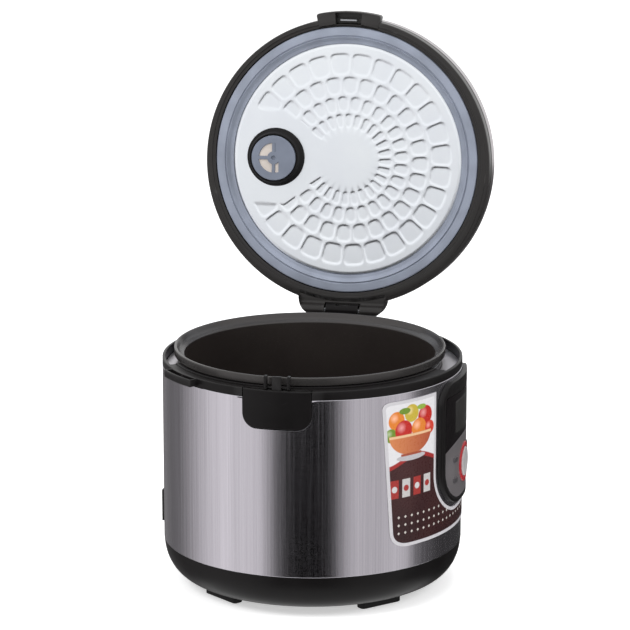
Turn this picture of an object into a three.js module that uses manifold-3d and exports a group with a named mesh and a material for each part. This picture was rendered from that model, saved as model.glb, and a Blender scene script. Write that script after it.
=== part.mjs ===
// A countertop multicooker with its lid open. Millimetres, +Z up. The control panel faces -Y,
// the latch is at -X, the hinge at +X and the steam valve's side is +Y.
import * as THREE from 'three';
import { mergeVertices } from 'three/addons/utils/BufferGeometryUtils.js';
import Module from 'manifold-3d';

const wasm = await Module();
wasm.setup();

// Directions in which a radial outline faces, in degrees about Z
const panelSide = 0;
const latchSide = -90;
const rearSide = 180;

// Counts of facets and how finely round outlines are cut
const bodySteps = 48;
const panelSteps = 72;
const valveSteps = 28;
const roundSteps = 20;
const pinSteps = 10;
const outlineSteps = 2;

// Clearances shared by all pieces
const restGap = 0.3;
const slipGap = 0.4;
const overrun = 1;
const weldReach = 0.0001;

// Body shell and base
const footHeight = 6.4;
const footLength = 44;
const footWidth = 11;
const footCorner = 4;
const footInset = 6;
const footPairs = 2;
const footFirstAngle = 52.5;
const footPairAngle = 84.6;
const bodyRadius = 138.4;
const steelWall = 1;
const steelBottom = 35.5;
const steelHeight = 164.1;
const baseHeight = 34.8;
const baseFlatInset = 26.4;
const baseWall = 3;
const baseFloor = 3;
const spigotHeight = 11;
const spigotWall = 2.5;
const ventCount = 8;
const ventLength = 26;
const ventWidth = 4;
const ventInset = 41;

// Top ring, its side decks and the side lug
const bandHeight = 7.8;
const lipWidth = 2.8;
const lipRound = 0.9;
const deckDepth = 8.4;
const deckThickness = 1;
const deckFloor = 2.4;
const ringCollar = 9.2;
const collarProud = 1.1;
const collarStep = 3.4;
const ringSpigot = 11;
const ringSpigotWall = 2.4;
const panelDeckFirstAngle = -15;
const panelDeckLastAngle = 55;
const steamDeckFirstAngle = 135;
const steamDeckLastAngle = 210;
const deckInnerWall = 2.4;
const deckRadialGap = 0.5;
const lugReach = 8.2;
const lugFirstAngle = 36;
const lugLastAngle = 54;
const lugHeight = 7;
const lugRim = 1.6;
const lugPocket = 3;

// The pot, set a little towards the steam side, and the liner round it
const potOffset = 2.5;
const potInset = 22.9;
const potWall = 1.5;
const potHeight = 146.8;
const potFloor = 1.8;
const potCorner = 22;
const potRimWidth = 9.5;
const potRimHeight = 7.6;
const potRimLip = 1.8;
const potLedge = 4.2;
const potLedgeWidth = 3.5;
const linerGap = 0.9;
const linerWall = 1;
const linerFlange = 3;
const linerShelf = 29.9;
const linerBelowPot = 6;

// Heater, its posts, the temperature sensor and the side heater
const heaterSpace = 4;
const heaterThickness = 12;
const sensorSpace = 2.5;
const postRadius = 5;
const postCount = 3;
const postInset = 22;
const postBore = 2.1;
const postBoreDepth = 12;
const screwShank = 1.7;
const screwHead = 3.6;
const screwHeadHeight = 1.7;
const sensorRadius = 16.5;
const sensorThickness = 3;
const sensorStem = 3;
const sensorStemLength = 24;
const guideRadius = 11;
const guideWall = 2;
const guideFloorShare = 0.34;
const guideBelowHeater = 5;
const springWire = 1.1;
const sensorSpringRadius = 6;
const sensorSpringTurns = 5;
const bandHeaterWidth = 40;
const bandHeaterWall = 1.6;
const bandHeaterLow = 52;

// Release lever in the front of the band, its pin and the strike
const leverWidth = 63;
const leverDrop = 27.7;
const leverCorner = 13;
const leverWall = 3.2;
const leverTopDrop = 0.2;
const leverWebWidth = 8.4;
const leverWebDepth = 4.4;
const leverPivotDrop = 5.9;
const leverPivotInset = 7.4;
const leverSwing = 1.2;
const leverPinRadius = 1.4;
const leverPinLength = 26;
const hookHeight = 12.3;
const hookWall = 1.6;
const hookInset = 3.2;
const hookNose = 1.4;
const hookNoseHeight = 2.3;
const slotWidth = 11;
const slotDepth = 10.6;
const strikeWidth = 23.6;
const strikePostWidth = 2.5;
const strikePostHeight = 12.4;
const strikeInset = 2;
const strikeDepth = 5.8;
const strikeBase = 1.4;

// Hinge: bracket on the body, pin, spring
const hingeStandOff = 6.6;
const hingeDrop = 2.5;
const openAngle = 95;
const knuckleRadius = 5.5;
const knuckleWidth = 31.5;
const knuckleGap = 2.6;
const bracketDepth = 17;
const bracketInset = 7.2;
const bracketFootWidth = 8.8;
const springPocketWidth = 13;
const springPocketWall = 1.6;
const hingePinRadius = 2;
const hingePinLength = 58;
const hingeBore = 2.4;
const hingeSpringRadius = 3;
const hingeSpringTurns = 6;
const hingeSpringPitch = 1.8;

// Lid: ring, cover, seal, inner plate
const ringFrontProud = 1.5;
const lidInset = 2.4;
const lidShift = 2.4;
const lidSide = 0.9;
const lidRingWidth = 7.6;
const lidWall = 3;
const lidRingDepth = 16.2;
const lidDeckDepth = 8;
const lidDeckWall = 2.2;
const grooveDepth = 0.7;
const grooveFrom = 11.6;
const grooveWidth = 1.4;
const coverDepth = 38.6;
const coverShoulder = 28;
const coverBulge = 0.5;
const coverWall = 1.4;
const coverCornerShare = 0.93;
const coverFlatShare = 0.7;
const coverBrowShare = 0.16;
const coverBrowRiseShare = 0.42;
const coverCornerRiseShare = 0.72;
const coverCrownShare = 0.06;
const sealFit = 0.6;
const sealFaceWidth = 10.2;
const sealLipWidth = 6;
const sealLipSet = 4.2;
const sealPlateGrip = 2.6;
const plateSeat = 2.6;
const plateThickness = 1.2;
const plateSet = 5.2;

// Lid ears
const latchEarReach = 6.5;
const latchEarWidth = 62;
const latchEarDepth = 12.5;
const pocketWidth = 24.6;
const pocketInset = 6;
const pocketFrontWall = 1.5;
const pocketDepth = 9;
const catchWidth = 16;
const catchWall = 1.3;
const catchInset = 2.5;
const catchWindow = 10;
const catchBar = 1.2;
const catchWindowHeight = 3.6;
const hingeEarWidth = 85;
const hingeEarNeck = 62;
const hingeEarDepth = 12.5;
const earSlotWidth = 35;
const earSlotRoof = 1.8;
const earNoseRise = 6.5;
const earRoot = 4;

// Steam valve and outer vent
const valveInset = 44.2;
const bootBase = 28.2;
const bootNeck = 24.7;
const bootBore = 21.9;
const bootTip = 24;
const bootReach = 10.6;
const bootSkirt = 1.7;
const bootFlare = 4.1;
const bootTipRound = 1.3;
const capRadius = 21.6;
const capFace = 1.8;
const capWall = 1.6;
const capWindowInner = 6.2;
const capWindowOuter = 14.4;
const capSpoke = 3.2;
const capHole = 2;
const capProud = 0.6;
const ductRadius = 14;
const ductWall = 1.6;
const ventCapRadius = 21;
const ventCapHeight = 5.5;
const ventCapRound = 2.4;
const ventCapStem = 11.6;
const ventCapStemLength = 12;
const ventSlotWidth = 3;
const ventSlotLength = 14;
const ventSlotCount = 3;
const lidScrewInset = 54.2;
const lidScrewCount = 4;
const lidScrewHead = 3.4;
const lidScrewHeadHeight = 2;
const lidScrewShank = 1.5;
const lidScrewBossRadius = 4.5;
const lidScrewLength = 9;

// Control panel
const panelWidth = 107;
const panelReach = 4.3;
const panelDrop = 119.6;
const panelTopGap = 2.5;
const panelCorner = 36;
const panelTopCorner = 20;
const faceWidth = 97;
const faceRise = 5;
const faceTopDrop = 15.4;
const faceCorner = 31;
const faceTopCorner = 4;
const faceRecess = 1.2;
const faceWall = 0.8;
const faceFit = 0.4;
const archEdgeRise = 10;
const archCrownRise = 9.9;
const archGap = 0.4;
const lcdWidth = 58;
const lcdHeight = 30;
const lcdDrop = 37.6;
const lcdDepth = 6;
const knobDrop = 86;
const knobRingOuter = 18.5;
const knobRingInner = 14.2;
const knobRingHeight = 1.2;
const knobRadius = 13.6;
const knobProud = 1.6;
const buttonOffset = 29;
const buttonUpperRise = 8.9;
const buttonLowerDrop = 10.6;
const buttonLength = 9.6;
const buttonWidth = 5.4;
const buttonProud = 0.9;
const buttonDepth = 5.6;
const boardWidth = 76;
const boardDrop = 19.6;
const boardHeight = 88;
const boardWall = 1.6;
const boardInset = 12;
const bossRadius = 3;
const bossOffset = 33;
const bossInset = 5;
const panelCutWidth = 84;
const panelCutRise = 8;
const panelCutDrop = 13.4;
const panelCutCorner = 12;

// Power board, inlet and label
const powerBoardLength = 70;
const powerBoardDepth = 24;
const powerBoardWall = 1.6;
const powerBoardRise = 6;
const powerBoardInset = 13;
const powerBossRadius = 3.5;
const powerBossOffset = 26;
const inletWidth = 29;
const inletHeight = 22;
const inletDepth = 15;
const inletFlange = 4;
const inletFlangeWall = 1.6;
const inletCentre = 58;
const inletWall = 2;
const inletPinLength = 8;
const inletPinWidth = 2;
const inletPinHeight = 4;
const inletPinSpread = 7;
const labelWall = 0.4;
const labelLeft = 108.2;
const labelLean = 6.3;
const labelDrop = 6.6;
const labelHeight = 136.5;
const labelRight = 62;
const labelBorder = 4;
const labelCorner = 15;
const labelTopCorner = 7;

// Heights and radii that follow
const baseBottom = steelBottom - baseHeight;
const footTop = baseBottom - restGap;
const footBottom = footTop - footHeight;
const steelTop = steelBottom + steelHeight;
const ringBottom = steelTop + restGap;
const lipTop = ringBottom + bandHeight;
const deckTop = lipTop - deckDepth;
const collarTop = lipTop + collarProud;
const potRimLow = collarTop + restGap;
const potTop = potRimLow + potRimHeight;
const potBottom = potTop - potHeight;
const heaterTop = potBottom - restGap;
const heaterBottom = heaterTop - heaterThickness;
const baseTop = baseBottom + baseFloor;
const baseFlatRadius = bodyRadius - baseFlatInset;
const footRadius = baseFlatRadius - footInset;
const ventRadius = baseFlatRadius - ventInset;
const powerBoardDistance = baseFlatRadius - powerBoardInset;
const steelInner = bodyRadius - steelWall;
const potInner = bodyRadius - potInset;
const potRim = potInner + potRimWidth;
const potLedgeRadius = potInner + potLedgeWidth;
const linerInner = potInner + potWall + linerGap;
const linerOuter = linerInner + linerWall;
const linerHole = linerInner - linerShelf;
const heaterRadius = linerHole - heaterSpace;
const heaterHole = sensorRadius + sensorSpace;
const postCircle = heaterRadius - postInset;
const ringInner = linerOuter + slipGap;
const lipInner = bodyRadius - lipWidth;
const collarOuter = ringInner + ringCollar;
const deckInner = ringInner + deckInnerWall;
const deckBottom = deckTop - deckThickness;
const ringLow = deckBottom - restGap - deckFloor;
const sealPlane = potTop + restGap;
const hingeHeight = sealPlane - hingeDrop;
const hingeRadius = bodyRadius + hingeStandOff;
const panelTop = ringBottom - panelTopGap;
const panelLow = steelTop - panelDrop;
const panelCutLow = panelLow + panelCutRise;
const panelCutHigh = panelTop - panelCutDrop;
const faceLow = panelLow + faceRise;
const lcdCentre = steelTop - lcdDrop;
const knobCentre = steelTop - knobDrop;
const buttonUpper = knobCentre + buttonUpperRise;
const buttonLower = knobCentre - buttonLowerDrop;
const boardHigh = steelTop - boardDrop;
const boardLow = boardHigh - boardHeight;
const bossLow = boardLow + bossInset;
const bossHigh = boardHigh - bossInset;
const labelTop = steelTop - labelDrop;
const labelLow = labelTop - labelHeight;
const panelInner = bodyRadius + restGap;
const panelOuter = bodyRadius + panelReach;
const faceTop = steelTop - faceTopDrop;
const archEdgeHeight = buttonUpper + archEdgeRise;
const archCrownHeight = knobCentre + knobRingOuter + archCrownRise;
const pivotHeight = lipTop - leverPivotDrop;
const pivotRadius = bodyRadius - leverPivotInset;
const strikeOuter = bodyRadius - strikeInset;
const strikeInner = strikeOuter - strikeDepth;
const bracketInner = bodyRadius - bracketInset;
const lidRadius = bodyRadius - lidInset;
const lidOuter = lidRadius + lidShift;
const lidRingInner = lidRadius - lidRingWidth;
const sealOuter = lidRingInner - sealFit;
const sealFace = sealOuter - sealFaceWidth;
const sealLip = sealFace - sealLipWidth;
const plateRadius = sealLip + plateSeat;
const pocketInner = lidRadius - pocketInset;
const pocketOuter = lidRadius + latchEarReach - pocketFrontWall;
const catchInner = lidRadius - catchInset;
const valveDistance = plateRadius - valveInset;
const lidScrewCircle = plateRadius - lidScrewInset;

// A closed geometry becomes a solid for cutting and joining
function solidOf(geometry) {
  const bare = geometry.clone();
  bare.deleteAttribute('normal');
  bare.deleteAttribute('uv');
  const welded = mergeVertices(bare, weldReach);
  const corners = welded.index.array;
  const triVerts = [];
  for (let i = 0; i < corners.length; i += 3) {
    const [a, b, c] = [corners[i], corners[i + 1], corners[i + 2]];
    if (a !== b && b !== c && c !== a) triVerts.push(a, b, c);
  }
  return new wasm.Manifold(new wasm.Mesh({
    numProp: 3,
    vertProperties: welded.attributes.position.array,
    triVerts: new Uint32Array(triVerts),
  }));
}

// A solid goes back to a geometry
function geometryOf(solid) {
  const mesh = solid.getMesh();
  const geometry = new THREE.BufferGeometry();
  geometry.setAttribute('position', new THREE.BufferAttribute(Float32Array.from(mesh.vertProperties), 3));
  geometry.setIndex(new THREE.BufferAttribute(Uint32Array.from(mesh.triVerts), 1));
  geometry.computeVertexNormals();
  return geometry;
}

// A profile of radius and height pairs, counter-clockwise, turned about Z
function turned(profile, steps = bodySteps) {
  const points = profile.map(([radius, height]) => new THREE.Vector2(radius, height));
  if (profile[0][0] !== 0) points.push(points[0].clone());
  const geometry = new THREE.LatheGeometry(points, steps);
  geometry.rotateX(Math.PI / 2);
  return geometry;
}

function rod(radius, low, high, steps = roundSteps) {
  return turned([[0, low], [radius, low], [radius, high], [0, high]], steps);
}

function pipe(inner, outer, low, high, steps = bodySteps) {
  return turned([[inner, low], [outer, low], [outer, high], [inner, high]], steps);
}

// A rectangle between two corners whose lower and upper corners are rounded
function roundedOutline(left, right, low, high, lowRound, highRound = lowRound) {
  const shape = new THREE.Shape();
  shape.moveTo(left + lowRound, low);
  shape.lineTo(right - lowRound, low);
  shape.absarc(right - lowRound, low + lowRound, lowRound, -Math.PI / 2, 0);
  shape.lineTo(right, high - highRound);
  shape.absarc(right - highRound, high - highRound, highRound, 0, Math.PI / 2);
  shape.lineTo(left + highRound, high);
  shape.absarc(left + highRound, high - highRound, highRound, Math.PI / 2, Math.PI);
  shape.lineTo(left, low + lowRound);
  shape.absarc(left + lowRound, low + lowRound, lowRound, Math.PI, 1.5 * Math.PI);
  return shape;
}

function straightOutline(points) {
  return new THREE.Shape(points.map(([across, up]) => new THREE.Vector2(across, up)));
}

function circleOutline(across, up, radius, steps = roundSteps) {
  const points = [];
  for (let i = 0; i < steps; i += 1) {
    const angle = i * 2 * Math.PI / steps;
    points.push([across + radius * Math.cos(angle), up + radius * Math.sin(angle)]);
  }
  return straightOutline(points);
}

// An outline seen from outside, run along a radius from one distance to another
function radialPrism(outline, from, to, side, steps = outlineSteps) {
  const settings = { depth: to - from, bevelEnabled: false, curveSegments: steps };
  const geometry = new THREE.ExtrudeGeometry(outline, settings);
  geometry.translate(0, 0, from);
  geometry.rotateX(Math.PI / 2);
  geometry.rotateZ(THREE.MathUtils.degToRad(side));
  return geometry;
}

// A plan outline run upwards
function uprightPrism(outline, low, high, steps = outlineSteps) {
  const settings = { depth: high - low, bevelEnabled: false, curveSegments: steps };
  const geometry = new THREE.ExtrudeGeometry(outline, settings);
  geometry.translate(0, 0, low);
  return geometry;
}

// A side profile of X and Z run along Y about a middle
function sidePrism(outline, width, middle, steps = outlineSteps) {
  const settings = { depth: width, bevelEnabled: false, curveSegments: steps };
  const geometry = new THREE.ExtrudeGeometry(outline, settings);
  geometry.rotateX(Math.PI / 2);
  geometry.translate(0, middle + width / 2, 0);
  return geometry;
}

function block(lowX, highX, lowY, highY, lowZ, highZ) {
  const geometry = new THREE.BoxGeometry(highX - lowX, highY - lowY, highZ - lowZ);
  geometry.translate((lowX + highX) / 2, (lowY + highY) / 2, (lowZ + highZ) / 2);
  return geometry;
}

// A pin along Y
function crossPin(radius, length, x, y, z, steps = pinSteps) {
  const geometry = rod(radius, -length / 2, length / 2, steps);
  geometry.rotateX(Math.PI / 2);
  geometry.translate(x, y, z);
  return geometry;
}

// A wedge of the ground plan between two angles measured from the panel side
function sector(fromAngle, toAngle, reach, low, high) {
  const middle = THREE.MathUtils.degToRad((fromAngle + toAngle) / 2);
  const half = THREE.MathUtils.degToRad((toAngle - fromAngle) / 2);
  const far = reach / Math.cos(half / 2);
  const corner = (angle) => [far * Math.sin(angle), -far * Math.cos(angle)];
  const outline = straightOutline([
    [0, 0],
    corner(middle - half),
    corner(middle - half / 2),
    corner(middle),
    corner(middle + half / 2),
    corner(middle + half),
  ]);
  return uprightPrism(outline, low, high);
}

class CoilPath extends THREE.Curve {
  constructor(radius, pitch, turns) {
    super();
    Object.assign(this, { radius, pitch, turns });
  }

  getPoint(share, target = new THREE.Vector3()) {
    const angle = share * this.turns * 2 * Math.PI;
    const rise = share * this.turns * this.pitch;
    return target.set(this.radius * Math.cos(angle), this.radius * Math.sin(angle), rise);
  }
}

// One unbroken wire wound in a coil along Z; its least gap to itself is measured on points
const coilSteps = 8;
const wireSides = 5;
function coil(name, radius, pitch, turns, wire) {
  const path = new CoilPath(radius, pitch, turns);
  const section = new THREE.EllipseCurve(0, 0, wire / 2, wire / 2).getPoints(wireSides);
  const outline = new THREE.Shape(section.slice(0, wireSides));
  const steps = turns * coilSteps;
  const geometry = new THREE.ExtrudeGeometry(outline, { steps, extrudePath: path, curveSegments: wireSides });
  const points = path.getPoints(steps);
  let least = Infinity;
  for (let i = 0; i < points.length; i += 1) {
    for (let j = i + coilSteps / 2; j < points.length; j += 1) {
      least = Math.min(least, points[i].distanceTo(points[j]) - wire);
    }
  }
  console.log(`${name} least gap to itself ${least.toFixed(2)} mm`);
  return geometry;
}

const finishes = {
  blackPlastic: { color: 0x1b1a1b, roughness: 0.45, metalness: 0 },
  softBlack: { color: 0x151515, roughness: 0.8, metalness: 0 },
  brushedSteel: { color: 0xb9b6ba, roughness: 0.3, metalness: 1 },
  silverPaint: { color: 0xb5b2b5, roughness: 0.45, metalness: 0.4 },
  galvanised: { color: 0x8d8f92, roughness: 0.5, metalness: 0.9 },
  castAluminium: { color: 0xa9abae, roughness: 0.55, metalness: 0.9 },
  satinAluminium: { color: 0xdfe3ea, roughness: 0.35, metalness: 0.9 },
  nonStick: { color: 0x241f1f, roughness: 0.4, metalness: 0.1 },
  blueSilicone: { color: 0x97a0b6, roughness: 0.55, metalness: 0 },
  smokedPlastic: { color: 0x858b99, roughness: 0.35, metalness: 0 },
  panelSilver: { color: 0x8c8688, roughness: 0.4, metalness: 0.5 },
  darkWindow: { color: 0x151114, roughness: 0.1, metalness: 0 },
  redPlastic: { color: 0xb01e2c, roughness: 0.35, metalness: 0 },
  greenBoard: { color: 0x2f5b3a, roughness: 0.6, metalness: 0 },
  labelFilm: { color: 0x3a1f22, roughness: 0.3, metalness: 0 },
};

function piece(name, shape, finish) {
  const geometry = shape.isBufferGeometry ? shape : geometryOf(shape);
  const mesh = new THREE.Mesh(geometry, new THREE.MeshStandardMaterial(finishes[finish]));
  mesh.name = name;
  return mesh;
}

// Base, feet and steel shell
function baseShell() {
  const innerFlat = baseFlatRadius - baseWall;
  const sideRadius = bodyRadius - restGap;
  const curve = (flat, side, low, high, share) => {
    const angle = share * Math.PI / 2;
    return [flat + (side - flat) * Math.sin(angle), high - (high - low) * Math.cos(angle)];
  };
  const arcShares = [0, 0.25, 0.5, 0.75, 1];
  const shoulder = steelBottom - restGap;
  const spigotRadius = steelInner - slipGap;
  const spigotInner = spigotRadius - spigotWall;
  const outer = arcShares.map((share) => curve(baseFlatRadius, sideRadius, baseBottom, shoulder, share));
  const inner = arcShares.map((share) => curve(innerFlat, spigotInner, baseTop, shoulder, share)).reverse();
  const profile = [
    [0, baseBottom],
    ...outer,
    [spigotRadius, shoulder],
    [spigotRadius, steelBottom + spigotHeight],
    [spigotInner, steelBottom + spigotHeight],
    ...inner,
    [0, baseTop],
  ];
  let shell = solidOf(turned(profile));
  for (let i = 0; i < ventCount; i += 1) {
    const slot = block(
      ventRadius - ventLength / 2, ventRadius + ventLength / 2, -ventWidth / 2, ventWidth / 2,
      baseBottom - overrun, baseTop + overrun,
    );
    slot.rotateZ((i + 1 / 2) * 2 * Math.PI / ventCount);
    shell = shell.subtract(solidOf(slot));
  }
  for (const [x, y] of postPlaces()) {
    const hole = rod(postBore, baseBottom - overrun, baseTop + overrun, pinSteps);
    hole.translate(x, y, 0);
    shell = shell.subtract(solidOf(hole));
  }
  for (const side of [-1, 1]) {
    const boss = rod(powerBossRadius, baseTop - overrun, baseTop + powerBoardRise - restGap, pinSteps);
    boss.translate(side * powerBossOffset, -powerBoardDistance, 0);
    shell = shell.add(solidOf(boss));
  }
  return shell;
}

function postPlaces() {
  const places = [];
  for (let i = 0; i < postCount; i += 1) {
    const angle = i * 2 * Math.PI / postCount;
    places.push([postCircle * Math.cos(angle), potOffset + postCircle * Math.sin(angle)]);
  }
  return places;
}

function foot(index) {
  const outline = roundedOutline(-footLength / 2, footLength / 2, -footWidth / 2, footWidth / 2, footCorner);
  const geometry = uprightPrism(outline, footBottom, footTop);
  geometry.translate(0, -footRadius, 0);
  const halfTurn = Math.floor(index / footPairs) * Math.PI;
  geometry.rotateZ(halfTurn + THREE.MathUtils.degToRad(footFirstAngle + index % footPairs * footPairAngle));
  return geometry;
}

function leverOutline(grow) {
  const half = leverWidth / 2 + grow;
  const low = steelTop - leverDrop - grow;
  return roundedOutline(-half - potOffset, half - potOffset, low, lipTop + leverCorner, leverCorner + grow);
}

function inletOutline(grow) {
  const halfWidth = inletWidth / 2 + grow;
  const halfHeight = inletHeight / 2 + grow;
  return straightOutline([
    [-halfWidth, inletCentre - halfHeight],
    [halfWidth, inletCentre - halfHeight],
    [halfWidth, inletCentre + halfHeight],
    [-halfWidth, inletCentre + halfHeight],
  ]);
}

function steelShell() {
  const far = bodyRadius + overrun;
  const near = steelInner / 2;
  const panelHole = roundedOutline(
    -panelCutWidth / 2, panelCutWidth / 2, panelCutLow, panelCutHigh, panelCutCorner,
  );
  const bracketHalf = knuckleWidth / 2 + slipGap;
  const bracketNotch = block(
    near, far, potOffset - bracketHalf, potOffset + bracketHalf, lipTop - bracketDepth - slipGap, lipTop,
  );
  return solidOf(pipe(steelInner, bodyRadius, steelBottom, steelTop))
    .subtract(solidOf(radialPrism(leverOutline(slipGap), near, far, latchSide)))
    .subtract(solidOf(radialPrism(panelHole, near, far, panelSide)))
    .subtract(solidOf(radialPrism(inletOutline(slipGap), near, far, rearSide)))
    .subtract(solidOf(bracketNotch));
}

// Top ring with its lip, collar, deck pockets and lug
function deckArea(low, high, shrink, from, to) {
  const outer = solidOf(rod(lipInner - shrink, low, high, bodySteps));
  const core = rod(deckInner + shrink, low - overrun, high + overrun, bodySteps);
  core.translate(0, potOffset, 0);
  const turn = THREE.MathUtils.radToDeg(shrink / lipInner);
  const wedge = sector(from + turn, to - turn, bodyRadius, low - overrun, high + overrun);
  return outer.subtract(solidOf(core)).intersect(solidOf(wedge));
}

function topRing() {
  const spigotRadius = steelInner - slipGap;
  const profile = [
    [ringInner / 2, ringLow],
    [spigotRadius - ringSpigotWall, ringLow],
    [spigotRadius - ringSpigotWall, ringBottom - ringSpigot],
    [spigotRadius, ringBottom - ringSpigot],
    [spigotRadius, ringBottom],
    [bodyRadius, ringBottom],
    [bodyRadius, lipTop - lipRound],
    [bodyRadius - lipRound, lipTop],
    [lipInner, lipTop],
    [ringInner / 2, lipTop],
  ];
  let ring = solidOf(turned(profile));
  const collar = rod(collarOuter, deckTop, collarTop, bodySteps);
  collar.translate(0, potOffset, 0);
  ring = ring.add(solidOf(collar));
  const recessLow = deckBottom - restGap;
  const recessHigh = collarTop + overrun;
  ring = ring
    .subtract(deckArea(recessLow, recessHigh, 0, panelDeckFirstAngle, panelDeckLastAngle))
    .subtract(deckArea(recessLow, recessHigh, 0, steamDeckFirstAngle, steamDeckLastAngle));
  const bore = rod(ringInner, ringLow - overrun, collarTop + overrun, bodySteps);
  const step = rod(
    linerOuter + linerFlange + slipGap, collarTop - collarStep - linerWall, collarTop + overrun, bodySteps,
  );
  for (const cutter of [bore, step]) {
    cutter.translate(0, potOffset, 0);
    ring = ring.subtract(solidOf(cutter));
  }
  return ring.add(sideLug()).subtract(leverSpace()).subtract(bracketSpace());
}

function sideLug() {
  const lugLow = lipTop - lugHeight;
  const rim = solidOf(pipe(lipInner, bodyRadius + lugReach, lugLow, lipTop));
  const reach = bodyRadius + lugReach;
  const pocket = pipe(bodyRadius + overrun, reach - lugRim, lipTop - lugPocket, lipTop + overrun);
  const first = latchSide - lugLastAngle;
  const last = latchSide - lugFirstAngle;
  const wedge = sector(first, last, reach, lugLow - overrun, lipTop + overrun);
  const inset = THREE.MathUtils.radToDeg(lugRim / bodyRadius);
  const inner = sector(first + inset, last - inset, reach, lipTop - lugPocket, lipTop + overrun);
  return rim.intersect(solidOf(wedge)).subtract(solidOf(pocket).intersect(solidOf(inner)));
}

// The space that the release lever and its hook move in
function leverSpace() {
  const far = bodyRadius + overrun;
  const plateBack = bodyRadius - leverWall - leverSwing;
  const slotHalf = slotWidth / 2;
  const slot = block(
    -far, -(bodyRadius - slotDepth), potOffset - slotHalf, potOffset + slotHalf,
    ringLow - overrun, collarTop + overrun,
  );
  const pin = crossPin(
    leverPinRadius + slipGap, leverPinLength + overrun, -pivotRadius, potOffset, pivotHeight,
  );
  const plate = solidOf(pipe(plateBack, far, ringBottom - ringSpigot - overrun, collarTop + overrun));
  return plate
    .intersect(solidOf(radialPrism(leverOutline(slipGap), bodyRadius / 2, far, latchSide)))
    .add(solidOf(slot))
    .add(solidOf(pin));
}

function bracketSpace() {
  const half = knuckleWidth / 2 + slipGap;
  return solidOf(block(
    bracketInner - slipGap, bodyRadius + overrun, potOffset - half, potOffset + half,
    ringBottom - ringSpigot - overrun, collarTop + overrun,
  ));
}

function deck(from, to) {
  return deckArea(deckBottom, deckTop, deckRadialGap, from, to);
}

// Release lever: a plate flush with the shell, a web on the pin and a hook above
function releaseLever() {
  const plateInner = bodyRadius - leverWall;
  const plateLow = steelTop - leverDrop;
  const plate = solidOf(pipe(plateInner, bodyRadius, plateLow - overrun, lipTop - leverTopDrop))
    .intersect(solidOf(radialPrism(leverOutline(0), bodyRadius / 2, bodyRadius + overrun, latchSide)));
  const webHalf = leverWebWidth / 2;
  const hookOuter = bodyRadius - hookInset + hookWall;
  const hookInner = hookOuter - hookWall;
  const hookTop = lipTop + hookHeight;
  const web = block(
    -plateInner - overrun, -(pivotRadius - leverWebDepth / 2),
    potOffset - webHalf, potOffset + webHalf,
    pivotHeight - leverWebDepth / 2, pivotHeight + leverWebDepth / 2,
  );
  const stemLow = lipTop - overrun - leverTopDrop;
  const stem = block(
    -hookOuter, -hookInner, potOffset - webHalf, potOffset + webHalf, stemLow, hookTop,
  );
  const nose = block(
    -hookInner - hookWall / 2, -(hookInner - hookNose), potOffset - webHalf, potOffset + webHalf,
    hookTop - hookNoseHeight, hookTop,
  );
  const pin = crossPin(leverPinRadius + restGap, leverWidth, -pivotRadius, potOffset, pivotHeight);
  return plate
    .add(solidOf(web))
    .add(solidOf(stem))
    .add(solidOf(nose))
    .subtract(solidOf(pin).intersect(solidOf(web)));
}

function leverPin() {
  return crossPin(leverPinRadius, leverPinLength, -pivotRadius, potOffset, pivotHeight);
}

function strike() {
  const half = strikeWidth / 2;
  const postLow = lipTop + restGap;
  const top = lipTop + strikePostHeight;
  const base = block(
    -(strikeInner + strikePostWidth), -(strikeInner - strikePostWidth / 2),
    potOffset - half, potOffset + half, postLow, postLow + strikeBase,
  );
  let shape = solidOf(base);
  for (const side of [-1, 1]) {
    const middle = potOffset + side * (half - strikePostWidth / 2);
    const post = block(
      -strikeOuter, -strikeInner,
      middle - strikePostWidth / 2, middle + strikePostWidth / 2, postLow, top,
    );
    shape = shape.add(solidOf(post));
  }
  const slotHalf = slotWidth / 2;
  return shape.subtract(solidOf(block(
    -strikeOuter - overrun, -strikeInner - restGap,
    potOffset - slotHalf, potOffset + slotHalf, lipTop, top + overrun,
  )));
}

// Hinge pieces
function hingeBracket() {
  const foot = lipTop - restGap;
  const profile = straightOutline([
    [bracketInner, ringBottom - ringSpigot + bracketFootWidth],
    [bracketInner + bracketFootWidth / 2, lipTop - bracketDepth],
    [bodyRadius + bracketFootWidth / 3, lipTop - bracketDepth],
    [hingeRadius + knuckleRadius, hingeHeight],
    [hingeRadius - knuckleRadius, hingeHeight],
    [hingeRadius - knuckleRadius, foot],
    [bracketInner, foot],
  ]);
  const knuckle = crossPin(knuckleRadius, knuckleWidth, hingeRadius, potOffset, hingeHeight, roundSteps);
  const bore = crossPin(hingeBore, knuckleWidth + overrun, hingeRadius, potOffset, hingeHeight);
  const pocketHalf = springPocketWidth / 2;
  const pocket = block(
    hingeRadius - knuckleRadius + springPocketWall, hingeRadius + knuckleRadius + overrun,
    potOffset - pocketHalf, potOffset + pocketHalf,
    hingeHeight - knuckleRadius, hingeHeight + knuckleRadius + overrun,
  );
  return solidOf(sidePrism(profile, knuckleWidth, potOffset))
    .add(solidOf(knuckle))
    .subtract(solidOf(bore))
    .subtract(solidOf(pocket));
}

function hingePin() {
  return crossPin(hingePinRadius, hingePinLength, hingeRadius, potOffset, hingeHeight);
}

function hingeSpring() {
  const length = hingeSpringTurns * hingeSpringPitch;
  const geometry = coil('hinge_spring', hingeSpringRadius, hingeSpringPitch, hingeSpringTurns, springWire);
  geometry.translate(0, 0, -length / 2);
  geometry.rotateX(Math.PI / 2);
  geometry.translate(hingeRadius, potOffset, hingeHeight);
  return geometry;
}

// Liner, heaters, sensor and their supports
const cornerBend = 1 - Math.SQRT1_2;

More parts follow.
